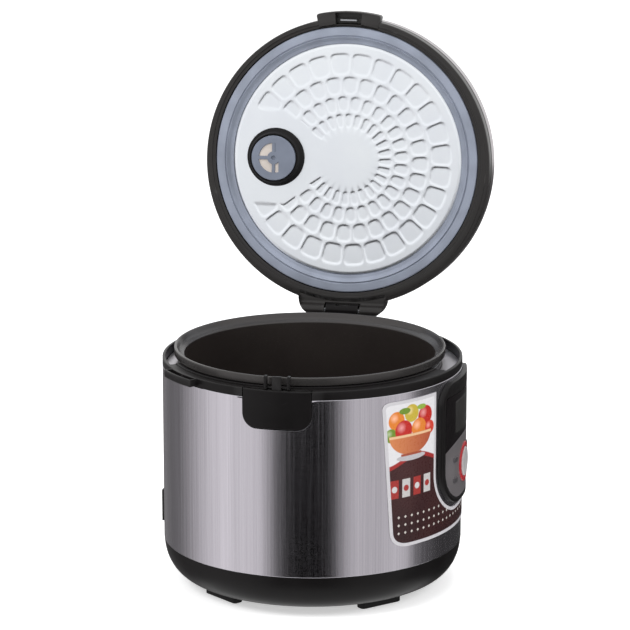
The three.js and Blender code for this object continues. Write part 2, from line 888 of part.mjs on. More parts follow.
function innerLiner() {
  const low = potBottom - linerBelowPot;
  const flangeTop = collarTop - collarStep;
  const flangeLow = flangeTop - linerWall + restGap;
  const cornerIn = linerInner - potCorner;
  const bend = potCorner * cornerBend;
  return turned([
    [linerHole, low],
    [cornerIn, low],
    [linerOuter - bend, low + bend],
    [linerOuter, low + potCorner],
    [linerOuter, flangeLow],
    [linerOuter + linerFlange, flangeLow],
    [linerOuter + linerFlange, flangeTop],
    [linerInner, flangeTop],
    [linerInner, low + linerWall + potCorner],
    [linerInner - bend, low + linerWall + bend],
    [cornerIn, low + linerWall],
    [linerHole, low + linerWall],
  ]);
}

function heaterPlate() {
  let plate = solidOf(pipe(heaterHole, heaterRadius, heaterBottom, heaterTop, bodySteps));
  for (const [x, y] of postPlaces()) {
    const seat = rod(postRadius + slipGap, heaterBottom - overrun, heaterBottom + linerWall, pinSteps);
    seat.translate(x, y - potOffset, 0);
    plate = plate.subtract(solidOf(seat));
  }
  return plate;
}

function heaterPost(x, y) {
  const low = baseTop + restGap;
  const high = heaterBottom + linerWall - restGap;
  const post = rod(postRadius, low, high, pinSteps);
  const bore = rod(postBore, low - overrun, low + postBoreDepth, pinSteps);
  const shape = solidOf(post).subtract(solidOf(bore));
  return shape.translate([x, y, 0]);
}

function postScrew(x, y) {
  const headTop = baseBottom - restGap;
  const tip = baseTop + postBoreDepth - overrun;
  const screw = turned([
    [0, headTop - screwHeadHeight],
    [screwHead, headTop - screwHeadHeight],
    [screwHead, headTop],
    [screwShank, headTop],
    [screwShank, tip],
    [0, tip],
  ], pinSteps);
  screw.translate(x, y, 0);
  return screw;
}

const sensorTop = potBottom - restGap;
const sensorUnder = sensorTop - sensorThickness;
const guideTop = heaterBottom - guideBelowHeater;
const guideFloor = baseTop + (guideTop - baseTop) * guideFloorShare;

function sensorCap() {
  return turned([
    [0, sensorUnder - sensorStemLength],
    [sensorStem, sensorUnder - sensorStemLength],
    [sensorStem, sensorUnder],
    [sensorRadius, sensorUnder],
    [sensorRadius, sensorTop],
    [0, sensorTop],
  ], roundSteps);
}

function sensorGuide() {
  const inner = guideRadius - guideWall;
  const bore = sensorStem + 2 * slipGap;
  return turned([
    [bore, guideFloor - guideWall],
    [inner, guideFloor - guideWall],
    [inner, baseTop + restGap],
    [guideRadius, baseTop + restGap],
    [guideRadius, guideTop],
    [inner, guideTop],
    [inner, guideFloor],
    [bore, guideFloor],
  ], roundSteps);
}

function sensorSpring() {
  const low = guideFloor + springWire / 2 + restGap;
  const high = sensorUnder - springWire / 2 - restGap;
  const pitch = (high - low) / sensorSpringTurns;
  const geometry = coil('sensor_spring', sensorSpringRadius, pitch, sensorSpringTurns, springWire);
  geometry.translate(0, 0, low);
  return geometry;
}

// Control panel
function panelShell() {
  const low = panelLow;
  const outline = roundedOutline(
    -panelWidth / 2, panelWidth / 2, low, panelTop, panelCorner, panelTopCorner,
  );
  const far = panelOuter + overrun;
  const near = bodyRadius / 2;
  let shell = solidOf(pipe(panelInner, panelOuter, low - overrun, panelTop + overrun, panelSteps))
    .intersect(solidOf(radialPrism(outline, near, far, panelSide)));
  const recess = solidOf(pipe(panelOuter - faceRecess, far, low, panelTop, panelSteps))
    .intersect(solidOf(radialPrism(faceOutline(0), near, far, panelSide)));
  shell = shell.subtract(recess);
  const lcdHole = roundedOutline(
    -lcdWidth / 2 - faceFit, lcdWidth / 2 + faceFit,
    lcdCentre - lcdHeight / 2 - faceFit, lcdCentre + lcdHeight / 2 + faceFit, faceFit,
  );
  const holes = [lcdHole, circleOutline(0, knobCentre, knobRadius + slipGap), ...buttonOutlines(slipGap)];
  for (const hole of holes) shell = shell.subtract(solidOf(radialPrism(hole, near, far, panelSide)));
  const bossReach = solidOf(rod(panelInner + faceRecess / 2, low, panelTop, panelSteps));
  for (const across of [-bossOffset, bossOffset]) {
    for (const up of [bossLow, bossHigh]) {
      const outline = circleOutline(across, up, bossRadius, pinSteps);
      const boss = radialPrism(outline, bodyRadius - boardInset + restGap, bodyRadius, panelSide);
      shell = shell.add(solidOf(boss).intersect(bossReach));
    }
  }
  return shell;
}

function faceOutline(shrink) {
  return roundedOutline(
    -faceWidth / 2 + shrink, faceWidth / 2 - shrink, faceLow + shrink, faceTop - shrink,
    faceCorner, faceTopCorner,
  );
}

// Everything below an arch that rises from the face's edges to its centre
function archOutline(lift) {
  const half = faceWidth / 2 + overrun;
  const shape = new THREE.Shape();
  shape.moveTo(-half, faceLow - overrun);
  shape.lineTo(half, faceLow - overrun);
  shape.lineTo(half, archEdgeHeight + lift);
  shape.quadraticCurveTo(0, 2 * archCrownHeight - archEdgeHeight + lift, -half, archEdgeHeight + lift);
  return shape;
}

function facePlate(upper) {
  const near = bodyRadius / 2;
  const far = panelOuter + overrun;
  const back = panelOuter - faceRecess + restGap;
  const film = solidOf(pipe(back, back + faceWall, faceLow - overrun, faceTop + overrun, panelSteps))
    .intersect(solidOf(radialPrism(faceOutline(faceFit), near, far, panelSide)));
  const lift = upper ? archGap / 2 : -archGap / 2;
  const arch = solidOf(radialPrism(archOutline(lift), near, far, panelSide, pinSteps));
  if (upper) return film.subtract(arch);
  let plate = film.intersect(arch);
  const holes = [circleOutline(0, knobCentre, knobRingOuter + slipGap), ...buttonOutlines(slipGap)];
  for (const hole of holes) plate = plate.subtract(solidOf(radialPrism(hole, near, far, panelSide)));
  return plate;
}

function buttonOutlines(grow) {
  const outlines = [];
  for (const up of [buttonUpper, buttonLower]) {
    for (const across of [-buttonOffset, buttonOffset]) {
      outlines.push(roundedOutline(
        across - buttonLength / 2 - grow, across + buttonLength / 2 + grow,
        up - buttonWidth / 2 - grow, up + buttonWidth / 2 + grow, buttonWidth / 2,
      ));
    }
  }
  return outlines;
}

function panelButton(outline) {
  const far = panelOuter + overrun;
  const front = panelOuter + buttonProud;
  const low = buttonLower - buttonWidth;
  const high = buttonUpper + buttonWidth;
  return solidOf(pipe(panelOuter - buttonDepth, front, low, high, panelSteps))
    .intersect(solidOf(radialPrism(outline, bodyRadius / 2, far, panelSide)));
}

function startButton() {
  const outline = circleOutline(0, knobCentre, knobRadius);
  return radialPrism(outline, panelOuter - buttonDepth, panelOuter + knobProud, panelSide);
}

function startRing() {
  const outline = circleOutline(0, knobCentre, knobRingOuter);
  outline.holes.push(circleOutline(0, knobCentre, knobRingInner));
  const far = panelOuter + overrun;
  const back = panelOuter - faceRecess + restGap;
  const low = knobCentre - knobRingOuter - overrun;
  const high = knobCentre + knobRingOuter + overrun;
  const band = pipe(back, back + faceWall + knobRingHeight, low, high, panelSteps);
  return solidOf(radialPrism(outline, bodyRadius / 2, far, panelSide)).intersect(solidOf(band));
}

function controlBoard() {
  const outer = bodyRadius - boardInset;
  return block(-boardWidth / 2, boardWidth / 2, -outer, -(outer - boardWall), boardLow, boardHigh);
}

function displayModule() {
  const back = bodyRadius - boardInset + restGap;
  const low = lcdCentre - lcdHeight / 2;
  return block(-lcdWidth / 2, lcdWidth / 2, -(back + lcdDepth), -back, low, low + lcdHeight);
}

// Power board, inlet and label
function powerBoard() {
  const low = baseTop + powerBoardRise;
  return block(
    -powerBoardLength / 2, powerBoardLength / 2,
    -powerBoardDistance - powerBoardDepth / 2, -powerBoardDistance + powerBoardDepth / 2,
    low, low + powerBoardWall,
  );
}

function powerInlet() {
  const face = bodyRadius + restGap + inletFlangeWall;
  const back = bodyRadius - inletDepth;
  const flange = solidOf(radialPrism(inletOutline(inletFlange), bodyRadius + restGap, face, rearSide));
  const bodyBlock = solidOf(radialPrism(inletOutline(0), back, face, rearSide));
  const cavity = solidOf(radialPrism(inletOutline(-inletWall), back + inletWall, face + overrun, rearSide));
  let inlet = flange.add(bodyBlock).subtract(cavity);
  for (const share of [-1, 0, 1]) {
    const middle = share * inletPinSpread;
    const pin = straightOutline([
      [middle - inletPinWidth / 2, inletCentre - inletPinHeight / 2],
      [middle + inletPinWidth / 2, inletCentre - inletPinHeight / 2],
      [middle + inletPinWidth / 2, inletCentre + inletPinHeight / 2],
      [middle - inletPinWidth / 2, inletCentre + inletPinHeight / 2],
    ]);
    const pinBack = back + inletWall / 2;
    const pinFront = back + inletWall + inletPinLength;
    inlet = inlet.add(solidOf(radialPrism(pin, pinBack, pinFront, rearSide)));
  }
  return inlet;
}

// Label outline: its outer side leans in towards the bottom
function labelOutline() {
  const foot = labelLean - labelLeft;
  const slope = labelLean / (labelTop - labelLow);
  const shape = new THREE.Shape();
  shape.moveTo(labelRight, labelLow);
  shape.lineTo(labelRight, labelTop);
  const head = -labelLeft;
  shape.lineTo(head + labelTopCorner, labelTop);
  shape.quadraticCurveTo(head, labelTop, head + slope * labelTopCorner, labelTop - labelTopCorner);
  shape.lineTo(foot - slope * labelCorner, labelLow + labelCorner);
  shape.quadraticCurveTo(foot, labelLow, foot + labelCorner, labelLow);
  return shape;
}

function label() {
  const near = bodyRadius / 2;
  const far = bodyRadius + overrun;
  const inner = bodyRadius + restGap;
  const outline = labelOutline();
  const cutHalf = panelWidth / 2 + labelBorder;
  const cutTop = labelTop + 2 * panelTopCorner;
  const cut = roundedOutline(
    -cutHalf, cutHalf, panelLow - labelBorder, cutTop, panelCorner + labelBorder, panelTopCorner,
  );
  const right = block(cutHalf, labelLeft + labelRight, -far, 0, panelLow, labelTop + overrun);
  return solidOf(pipe(inner, inner + labelWall, labelLow - overrun, labelTop + overrun))
    .intersect(solidOf(radialPrism(outline, near, far, panelSide)))
    .subtract(solidOf(radialPrism(cut, near, far, panelSide)))
    .subtract(solidOf(right));
}

// Pot
function innerPot() {
  const outer = potInner + potWall;
  const cornerOut = outer - potCorner;
  const innerCorner = potCorner - potWall;
  const floorTop = potBottom + potFloor;
  return turned([
    [0, potBottom],
    [cornerOut, potBottom],
    [outer - potCorner * cornerBend, potBottom + potCorner * cornerBend],
    [outer, potBottom + potCorner],
    [outer, potRimLow],
    [potRim - potRimLip / 2, potRimLow],
    [potRim, potRimLow + potRimLip / 2],
    [potRim, potTop - potRimLip / 2],
    [potRim - potRimLip / 2, potTop],
    [potRim - potRimLip, potTop],
    [potLedgeRadius + potWall, potTop - potLedge],
    [potLedgeRadius, potTop - potLedge - potWall],
    [potInner, potTop - potRimHeight + overrun / 2],
    [potInner, floorTop + innerCorner],
    [potInner - innerCorner * cornerBend, floorTop + innerCorner * cornerBend],
    [potInner - innerCorner, floorTop],
    [0, floorTop],
  ]);
}

// Lid pieces are drawn closed, with heights from the seal's face
function lidFrame() {
  const front = sealPlane - ringFrontProud;
  const deckLow = sealPlane + lidDeckDepth;
  const wallInner = lidRadius - lidWall;
  const wallTop = sealPlane + lidRingDepth;
  const grooveLow = sealPlane + grooveFrom;
  const grooveHigh = grooveLow + grooveWidth;
  const edge = lipRound;
  const outside = turned([
    [0, front],
    [lidOuter - edge, front],
    [lidOuter, front + edge],
    [lidOuter, grooveLow],
    [lidOuter - grooveDepth, grooveLow],
    [lidOuter - grooveDepth, grooveHigh],
    [lidOuter, grooveHigh],
    [lidOuter, wallTop],
    [0, wallTop],
  ]);
  outside.translate(lidShift, -lidSide, 0);
  let frame = solidOf(outside)
    .subtract(solidOf(rod(lidRingInner, front - overrun, deckLow, bodySteps)))
    .subtract(solidOf(rod(wallInner, deckLow + lidDeckWall, wallTop + overrun, bodySteps)));
  for (const [x, y] of lidScrewPlaces()) {
    const bossLow = deckLow + lidDeckWall / 2;
    const boss = rod(lidScrewBossRadius, bossLow, bossLow + lidScrewLength, pinSteps);
    const hole = rod(lidScrewShank + slipGap, deckLow - overrun, deckLow + lidScrewLength, pinSteps);
    boss.translate(x, y, 0);
    hole.translate(x, y, 0);
    frame = frame.add(solidOf(boss)).subtract(solidOf(hole));
  }
  const steamHole = rod(ductRadius - ductWall, deckLow - overrun, deckLow + lidDeckWall + overrun);
  steamHole.translate(0, valveDistance, 0);
  return frame.subtract(solidOf(steamHole)).add(latchEar()).add(hingeEar()).subtract(earSpaces());
}

function lidScrewPlaces() {
  const places = [];
  for (let i = 0; i < lidScrewCount; i += 1) {
    const angle = (i + 1 / 2) * 2 * Math.PI / lidScrewCount;
    places.push([lidScrewCircle * Math.cos(angle), lidScrewCircle * Math.sin(angle)]);
  }
  return places;
}

function latchEar() {
  const front = sealPlane - ringFrontProud;
  const reach = lidRadius + latchEarReach;
  const half = latchEarWidth / 2;
  const band = solidOf(pipe(lidRadius - lidWall / 2, reach, front, front + latchEarDepth));
  const low = front - overrun;
  const high = front + latchEarDepth + overrun;
  return band.intersect(solidOf(block(-reach - overrun, 0, -half, half, low, high)));
}

// The hinge ear: a web that narrows in plan to two cheeks round the pin
function hingeEar() {
  const front = sealPlane - ringFrontProud;
  const top = front + hingeEarDepth;
  const root = lidRadius - earRoot;
  const nose = hingeRadius + knuckleRadius;
  const side = straightOutline([
    [root, front],
    [hingeRadius, hingeHeight - knuckleRadius],
    [nose, hingeHeight],
    [nose, hingeHeight + earNoseRise],
    [hingeRadius + knuckleRadius / 2, top],
    [root, top],
  ]);
  const halfRoot = hingeEarWidth / 2;
  const halfNeck = hingeEarNeck / 2;
  const plan = new THREE.Shape();
  plan.moveTo(root - earRoot, -halfRoot);
  plan.lineTo(root, -halfRoot);
  plan.quadraticCurveTo(hingeRadius, -halfRoot, nose, -halfNeck);
  plan.lineTo(nose, halfNeck);
  plan.quadraticCurveTo(hingeRadius, halfRoot, root, halfRoot);
  plan.lineTo(root - earRoot, halfRoot);
  const barrel = crossPin(knuckleRadius, hingeEarNeck, hingeRadius, 0, hingeHeight, roundSteps);
  const keep = solidOf(uprightPrism(plan, front - 2 * knuckleRadius, top + overrun));
  const boreLow = front - 2 * knuckleRadius;
  const ringBore = solidOf(rod(lidRadius - lidWall / 2, boreLow, top + 2 * overrun, bodySteps));
  return solidOf(sidePrism(side, hingeEarWidth, 0))
    .intersect(keep)
    .add(solidOf(barrel))
    .subtract(ringBore);
}

// Pocket of the latch ear, slot for the knuckle and bore for the pin
function earSpaces() {
  const front = sealPlane - ringFrontProud;
  const pocket = block(
    -pocketOuter, -pocketInner, -pocketWidth / 2, pocketWidth / 2, front - overrun, front + pocketDepth,
  );
  const slotFrom = hingeRadius - knuckleRadius - knuckleGap / 2;
  const slot = block(
    slotFrom, hingeRadius + 2 * knuckleRadius, -earSlotWidth / 2, earSlotWidth / 2,
    hingeHeight - 2 * knuckleRadius, front + hingeEarDepth - earSlotRoof,
  );
  const bore = crossPin(hingeBore, hingeEarWidth, hingeRadius, 0, hingeHeight);
  return solidOf(pocket).add(solidOf(slot)).add(solidOf(bore));
}

// Metal catch in the pocket, with the window that the hook enters
function latchCatch() {
  const low = sealPlane - catchBar;
  const high = sealPlane - ringFrontProud + pocketDepth - restGap;
  const plate = block(
    -(catchInner + catchWall), -catchInner, -catchWidth / 2, catchWidth / 2, low, high,
  );
  const windowCut = block(
    -(catchInner + catchWall + overrun), -(catchInner - overrun), -catchWindow / 2, catchWindow / 2,
    low + catchBar, low + catchBar + catchWindowHeight,
  );
  return solidOf(plate).subtract(solidOf(windowCut));
}

// The cover and the frame's outside share a circle set off from the seal's
function lidCover() {
  const low = sealPlane + lidRingDepth + restGap;
  const shoulder = sealPlane + coverShoulder;
  const top = sealPlane + coverDepth;
  const outer = lidOuter + coverBulge;
  const rise = top - shoulder;
  const corner = lidOuter * coverCornerShare;
  const flat = lidOuter * coverFlatShare;
  const inner = lidOuter - lidWall;
  const shell = turned([
    [inner, low],
    [lidOuter, low],
    [outer, shoulder],
    [outer - rise * coverBrowShare, shoulder + rise * coverBrowRiseShare],
    [corner, shoulder + rise * coverCornerRiseShare],
    [flat, top - rise * coverCrownShare],
    [0, top],
    [0, top - coverWall],
    [flat, top - rise * coverCrownShare - coverWall],
    [corner - coverWall / 2, shoulder + rise * coverCornerRiseShare - coverWall],
    [inner, shoulder],
  ]);
  shell.translate(lidShift, -lidSide, 0);
  const hole = rod(ventCapStem + slipGap, low, top + overrun);
  hole.translate(0, valveDistance, 0);
  return solidOf(shell).subtract(solidOf(hole));
}

function sealRing() {
  const back = sealPlane + lidDeckDepth - restGap;
  const grooveLow = sealPlane + plateSet - restGap;
  const grooveHigh = sealPlane + plateSet + plateThickness + restGap;
  const grooveRadius = plateRadius + slipGap;
  return turned([
    [sealLip, sealPlane + sealLipSet],
    [sealFace - sealPlateGrip, sealPlane + sealLipSet / 3],
    [sealFace, sealPlane],
    [sealOuter - lipRound, sealPlane],
    [sealOuter, sealPlane + lipRound],
    [sealOuter, back],
    [sealLip + overrun, back],
    [sealLip + overrun, grooveHigh],
    [grooveRadius, grooveHigh],
    [grooveRadius, grooveLow],
    [sealLip, grooveLow],
  ]);
}

function innerPlate() {
  const low = sealPlane + plateSet;
  const hole = rod(bootNeck + restGap, low - overrun, low + plateThickness + overrun, valveSteps);
  hole.translate(0, valveDistance, 0);
  return solidOf(rod(plateRadius, low, low + plateThickness, bodySteps)).subtract(solidOf(hole));
}

// Steam valve, drawn about its own axis
function valveBoot() {
  const plateFace = sealPlane + plateSet - restGap;
  const tip = plateFace - bootReach;
  const back = sealPlane + lidDeckDepth - restGap;
  return turned([
    [bootBore, tip + bootTipRound],
    [bootBore + bootTipRound, tip],
    [bootTip, tip + bootTipRound],
    [bootNeck + bootTipRound / 2, plateFace - bootFlare],
    [bootBase, plateFace - bootSkirt],
    [bootBase, plateFace],
    [bootNeck, plateFace],
    [bootNeck, back],
    [bootBore, back],
  ], valveSteps);
}

function valveCap() {
  const plateFace = sealPlane + plateSet - restGap;
  const face = plateFace - bootReach - capProud;
  const back = sealPlane + lidDeckDepth - restGap;
  let cap = solidOf(turned([
    [0, face],
    [capRadius, face],
    [capRadius, back],
    [capRadius - capWall, back],
    [capRadius - capWall, face + capFace],
    [0, face + capFace],
  ], valveSteps));
  const low = face - overrun;
  const high = face + capFace + overrun;
  const windows = solidOf(pipe(capWindowInner, capWindowOuter, low, high, valveSteps));
  const reach = capWindowOuter + overrun;
  const half = capSpoke / 2;
  const spokes = solidOf(block(-reach, reach, -half, half, low - overrun, high + overrun))
    .add(solidOf(block(-half, half, -reach, reach, low - overrun, high + overrun)));
  cap = cap.subtract(windows.subtract(spokes));
  return cap.subtract(solidOf(rod(capHole, low, high, pinSteps)));
}

const ductLow = sealPlane + lidDeckDepth + lidDeckWall + restGap;
const ventTop = sealPlane + coverDepth + restGap;

function steamDuct() {
  const high = ventTop - coverWall - 2 * restGap - (coverDepth - coverShoulder) * coverCrownShare;
  return pipe(ductRadius - ductWall, ductRadius, ductLow, high, roundSteps);
}

function steamVent() {
  let cap = solidOf(turned([
    [0, ventTop - ventCapStemLength],
    [ventCapStem, ventTop - ventCapStemLength],
    [ventCapStem, ventTop],
    [ventCapRadius, ventTop],
    [ventCapRadius, ventTop + ventCapHeight - ventCapRound],
    [ventCapRadius - ventCapRound, ventTop + ventCapHeight],
    [0, ventTop + ventCapHeight],
  ], roundSteps));
  for (let i = 0; i < ventSlotCount; i += 1) {
    const middle = (i - (ventSlotCount - 1) / 2) * 2 * ventSlotWidth;
    const slot = block(
      -ventSlotLength / 2, ventSlotLength / 2, middle - ventSlotWidth / 2, middle + ventSlotWidth / 2,
      ventTop - ventCapStemLength - overrun, ventTop + ventCapHeight + overrun,
    );
    cap = cap.subtract(solidOf(slot));
  }
  return cap;
}

function lidScrew(x, y) {
  const deckLow = sealPlane + lidDeckDepth;
  const tip = deckLow + lidScrewLength - overrun;
  const screw = turned([
    [0, deckLow - restGap - lidScrewHeadHeight / 2],
    [lidScrewHead, deckLow - restGap - lidScrewHeadHeight / 2],
    [lidScrewHead, deckLow - restGap],
    [lidScrewShank, deckLow - restGap],
    [lidScrewShank, tip],
    [0, tip],
  ], pinSteps);
  screw.translate(x, y, 0);
  return screw;
}

// Body pieces about the body's own axis
const body = new THREE.Group();
body.add(piece('base_shell', baseShell(), 'blackPlastic'));
for (let i = 0; i < 2 * footPairs; i += 1) body.add(piece(`foot_${i + 1}`, foot(i), 'softBlack'));
body.add(
  piece('steel_shell', steelShell(), 'brushedSteel'),
  piece('top_ring', topRing(), 'blackPlastic'),
  piece('deck_panel_side', deck(panelDeckFirstAngle, panelDeckLastAngle), 'silverPaint'),
  piece('deck_steam_side', deck(steamDeckFirstAngle, steamDeckLastAngle), 'silverPaint'),
  piece('release_lever', releaseLever(), 'blackPlastic'),
  piece('lever_pin', leverPin(), 'galvanised'),
  piece('latch_strike', strike(), 'blackPlastic'),
  piece('hinge_bracket', hingeBracket(), 'blackPlastic'),
  piece('hinge_pin', hingePin(), 'galvanised'),
  piece('hinge_spring', hingeSpring(), 'galvanised'),
  piece('power_board', powerBoard(), 'greenBoard'),
  piece('power_inlet', powerInlet(), 'softBlack'),
  piece('panel_housing', panelShell(), 'blackPlastic'),
  piece('panel_face', facePlate(false), 'panelSilver'),
  piece('display_window', facePlate(true), 'darkWindow'),
  piece('display_module', displayModule(), 'galvanised'),
  piece('control_board', controlBoard(), 'greenBoard'),
  piece('start_button', startButton(), 'softBlack'),
  piece('start_ring', startRing(), 'redPlastic'),
  piece('label_film', label(), 'labelFilm'),
);
buttonOutlines(0).forEach((outline, i) => {
  body.add(piece(`panel_button_${i + 1}`, panelButton(outline), 'softBlack'));
});
postPlaces().forEach(([x, y], i) => {
  body.add(
    piece(`heater_post_${i + 1}`, heaterPost(x, y), 'galvanised'),
    piece(`post_screw_${i + 1}`, postScrew(x, y), 'galvanised'),
  );
});

// Pieces about the pot's axis
const bandHeaterInner = linerOuter + restGap;
const potGroup = new THREE.Group();
potGroup.position.y = potOffset;
potGroup.add(
  piece('inner_pot', innerPot(), 'nonStick'),
  piece('inner_liner', innerLiner(), 'galvanised'),
  piece('side_heater', pipe(
    bandHeaterInner, bandHeaterInner + bandHeaterWall,
    potBottom + bandHeaterLow, potBottom + bandHeaterLow + bandHeaterWidth,
  ), 'galvanised'),
  piece('heater_plate', heaterPlate(), 'castAluminium'),
  piece('sensor_cap', sensorCap(), 'satinAluminium'),
  piece('sensor_guide', sensorGuide(), 'galvanised'),
  piece('sensor_spring', sensorSpring(), 'galvanised'),
);

// The lid turns about the hinge pin
const lidParts = new THREE.Group();
lidParts.position.set(-hingeRadius, 0, -hingeHeight);
lidParts.add(
  piece('lid_frame', lidFrame(), 'blackPlastic'),
  piece('lid_cover', lidCover(), 'brushedSteel'),
  piece('seal_ring', sealRing(), 'blueSilicone'),
  piece('inner_plate', innerPlate(), 'satinAluminium'),
  piece('latch_catch', latchCatch(), 'satinAluminium'),
);
lidScrewPlaces().forEach(([x, y], i) => {
  lidParts.add(piece(`lid_screw_${i + 1}`, lidScrew(x, y), 'galvanised'));
});
const valveParts = new THREE.Group();
valveParts.position.y = valveDistance;
valveParts.add(
  piece('valve_boot', valveBoot(), 'softBlack'),
  piece('valve_cap', valveCap(), 'smokedPlastic'),
  piece('steam_duct', steamDuct(), 'galvanised'),
  piece('steam_vent', steamVent(), 'blackPlastic'),
);
lidParts.add(valveParts);
const lid = new THREE.Group();
lid.position.set(hingeRadius, potOffset, hingeHeight);
lid.rotation.y = THREE.MathUtils.degToRad(openAngle);
lid.add(lidParts);

// The origin is under the middle of the whole part
const cooker = new THREE.Group();
cooker.add(body, potGroup, lid);
cooker.updateMatrixWorld(true);
const extent = new THREE.Box3().setFromObject(cooker, true);
const middle = extent.getCenter(new THREE.Vector3());
cooker.position.set(-middle.x, -middle.y, -extent.min.z);

export default cooker;
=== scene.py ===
import bpy
import bmesh
import math
import numpy as np
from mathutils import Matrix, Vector


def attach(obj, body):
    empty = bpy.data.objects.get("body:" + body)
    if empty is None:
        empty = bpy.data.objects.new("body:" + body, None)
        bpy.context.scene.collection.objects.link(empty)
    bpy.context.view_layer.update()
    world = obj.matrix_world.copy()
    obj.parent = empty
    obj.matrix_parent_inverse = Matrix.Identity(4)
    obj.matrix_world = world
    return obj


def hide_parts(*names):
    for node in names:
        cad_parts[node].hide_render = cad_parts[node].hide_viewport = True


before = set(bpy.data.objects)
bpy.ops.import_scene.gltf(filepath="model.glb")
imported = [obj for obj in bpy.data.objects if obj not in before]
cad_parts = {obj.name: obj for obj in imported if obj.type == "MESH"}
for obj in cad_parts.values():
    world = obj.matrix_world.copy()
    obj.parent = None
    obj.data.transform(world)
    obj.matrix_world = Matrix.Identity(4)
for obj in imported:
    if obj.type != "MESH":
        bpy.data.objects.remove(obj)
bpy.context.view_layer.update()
mm = 0.001
print("multicooker: frame loaded")

# Where the pieces stand, in millimetres about the body's own axis on the floor
place = {
    "axisX": -34.117, "axisY": 1.9,
    "lift": 6.0,              # heights count from a level this far above the floor
    "potShift": 2.5,          # pot, lid, latch and hinge lie this far towards the steam side
    "hingeRadius": 145.0, "hingeHeight": 214.5, "openAngle": 95.0,
    "valveShift": 70.0,
    "bodyRadius": 138.4, "lipTop": 207.7,
}
bodyRadius, lipTop, potShift = place["bodyRadius"], place["lipTop"], place["potShift"]


# Frames: body coordinates in millimetres become the row frame in metres
def fromBody(points):
    return (np.asarray(points, float) + [place["axisX"], place["axisY"], place["lift"]]) * mm


def fromPot(points):
    return fromBody(np.asarray(points, float) + [0, potShift, 0])


# The shut lid swings about the hinge axis to its open rest: x and z turn by the open angle
def fromLid(points):
    p = np.array(points, float)
    a = math.radians(place["openAngle"])
    dx, dz = p[..., 0] - place["hingeRadius"], p[..., 2] - place["hingeHeight"]
    p[..., 0] = place["hingeRadius"] + dx * math.cos(a) + dz * math.sin(a)
    p[..., 2] = place["hingeHeight"] - dx * math.sin(a) + dz * math.cos(a)
    return fromPot(p)


def fromValve(points):
    return fromLid(np.asarray(points, float) + [0, place["valveShift"], 0])


# An angle in degrees brought between -180 and 180
def wrapped(angle):
    return (angle + 180) % 360 - 180


# A quadratic curve from a to c that leans towards b: (1-t)^2 a + 2t(1-t) b + t^2 c
def quadratic(t, a, b, c):
    return (1 - t) ** 2 * a + 2 * t * (1 - t) * b + t ** 2 * c


# Faces of a grid of rows by columns, closed across the columns where asked
def gridFaces(rows, columns, closed=False):
    last = columns if closed else columns - 1
    i, j = np.meshgrid(np.arange(rows - 1), np.arange(last), indexing="ij")
    here, beside = i * columns + j, i * columns + (j + 1) % columns
    return np.stack([here, beside, beside + columns, here + columns], -1).reshape(-1, 4)


# Sections carried along a path: a grid of stations by section points; each section is a closed loop,
# and the path is either a ring or closed by its two end sections
def swept(grid, ring=False):
    n, m = grid.shape[:2]
    i, j = np.meshgrid(np.arange(n if ring else n - 1), np.arange(m), indexing="ij")
    after, beside = (i + 1) % n, (j + 1) % m
    corners = np.stack([i * m + j, i * m + beside, after * m + beside, after * m + j], -1)
    faces = corners.reshape(-1, 4).tolist()
    if not ring:
        faces += [list(range(m))[::-1], list(range((n - 1) * m, n * m))]
    return grid.reshape(-1, 3), faces


# A section of radius and height turned about the upright axis: x = r cos a, y = r sin a
def turned(section, steps):
    p = np.asarray(section, float)
    a = np.radians(np.linspace(0, 360, steps, endpoint=False))[:, None]
    return swept(np.stack([p[:, 0] * np.cos(a), p[:, 0] * np.sin(a), p[:, 1] + 0 * a], -1), True)


# A profile with rounded corners: each corner becomes a quadratic curve that starts and ends its radius away
def softProfile(points, radii, cuts=4, closed=True):
    p = np.asarray(points, float)
    n = len(p)
    out = []
    for i in range(n):
        if radii[i] <= 0 or (not closed and i in (0, n - 1)):
            out.append(p[i][None])
            continue
        a, b = p[i - 1] - p[i], p[(i + 1) % n] - p[i]
        lengthA, lengthB = np.linalg.norm(a), np.linalg.norm(b)
        reach = min(radii[i], lengthA * 0.49, lengthB * 0.49)
        t = np.linspace(0, 1, cuts + 1)[:, None]
        out.append(quadratic(t, p[i] + a / lengthA * reach, p[i], p[i] + b / lengthB * reach))
    return np.concatenate(out)


# A rectangle with rounded lower and upper corners, counter-clockwise; arc points lie on true quarter circles
def softRectangle(left, right, low, high, lowRound, highRound=None, cuts=8):
    top = lowRound if highRound is None else highRound
    t = np.linspace(0, math.pi / 2, cuts + 1)
    corners = [
        (right - lowRound, low + lowRound, lowRound, -math.pi / 2), (right - top, high - top, top, 0),
        (left + top, high - top, top, math.pi / 2), (left + lowRound, low + lowRound, lowRound, math.pi),
    ]
    arcs = [np.column_stack([x + r * np.cos(t + a), y + r * np.sin(t + a)]) for x, y, r, a in corners]
    return np.concatenate(arcs)


# Points of a circle: x + r cos a, y + r sin a
def circleOutline(x, y, radius, steps):
    a = np.linspace(0, 2 * math.pi, steps, endpoint=False)
    return np.stack([x + radius * np.cos(a), y + radius * np.sin(a)], -1)


# Outlines that run point by point beside each other get more points where the first one's sides are long
def finer(step, *outlines):
    main = outlines[0]
    lengths = np.linalg.norm(np.roll(main, -1, 0) - main, axis=1)
    counts = np.maximum(1, np.ceil(lengths / step)).astype(int)
    shares = [np.arange(c)[:, None] / c for c in counts]
    return [
        np.concatenate([o[i] * (1 - s) + o[(i + 1) % len(o)] * s for i, s in enumerate(shares)])
        for o in outlines
    ]


# An outline moved inwards along its own normals
def inset(outline, by):
    t = np.roll(outline, -1, 0) - np.roll(outline, 1, 0)
    t /= np.maximum(np.linalg.norm(t, axis=1, keepdims=True), 1e-9)
    return outline + by * np.stack([-t[:, 1], t[:, 0]], -1)


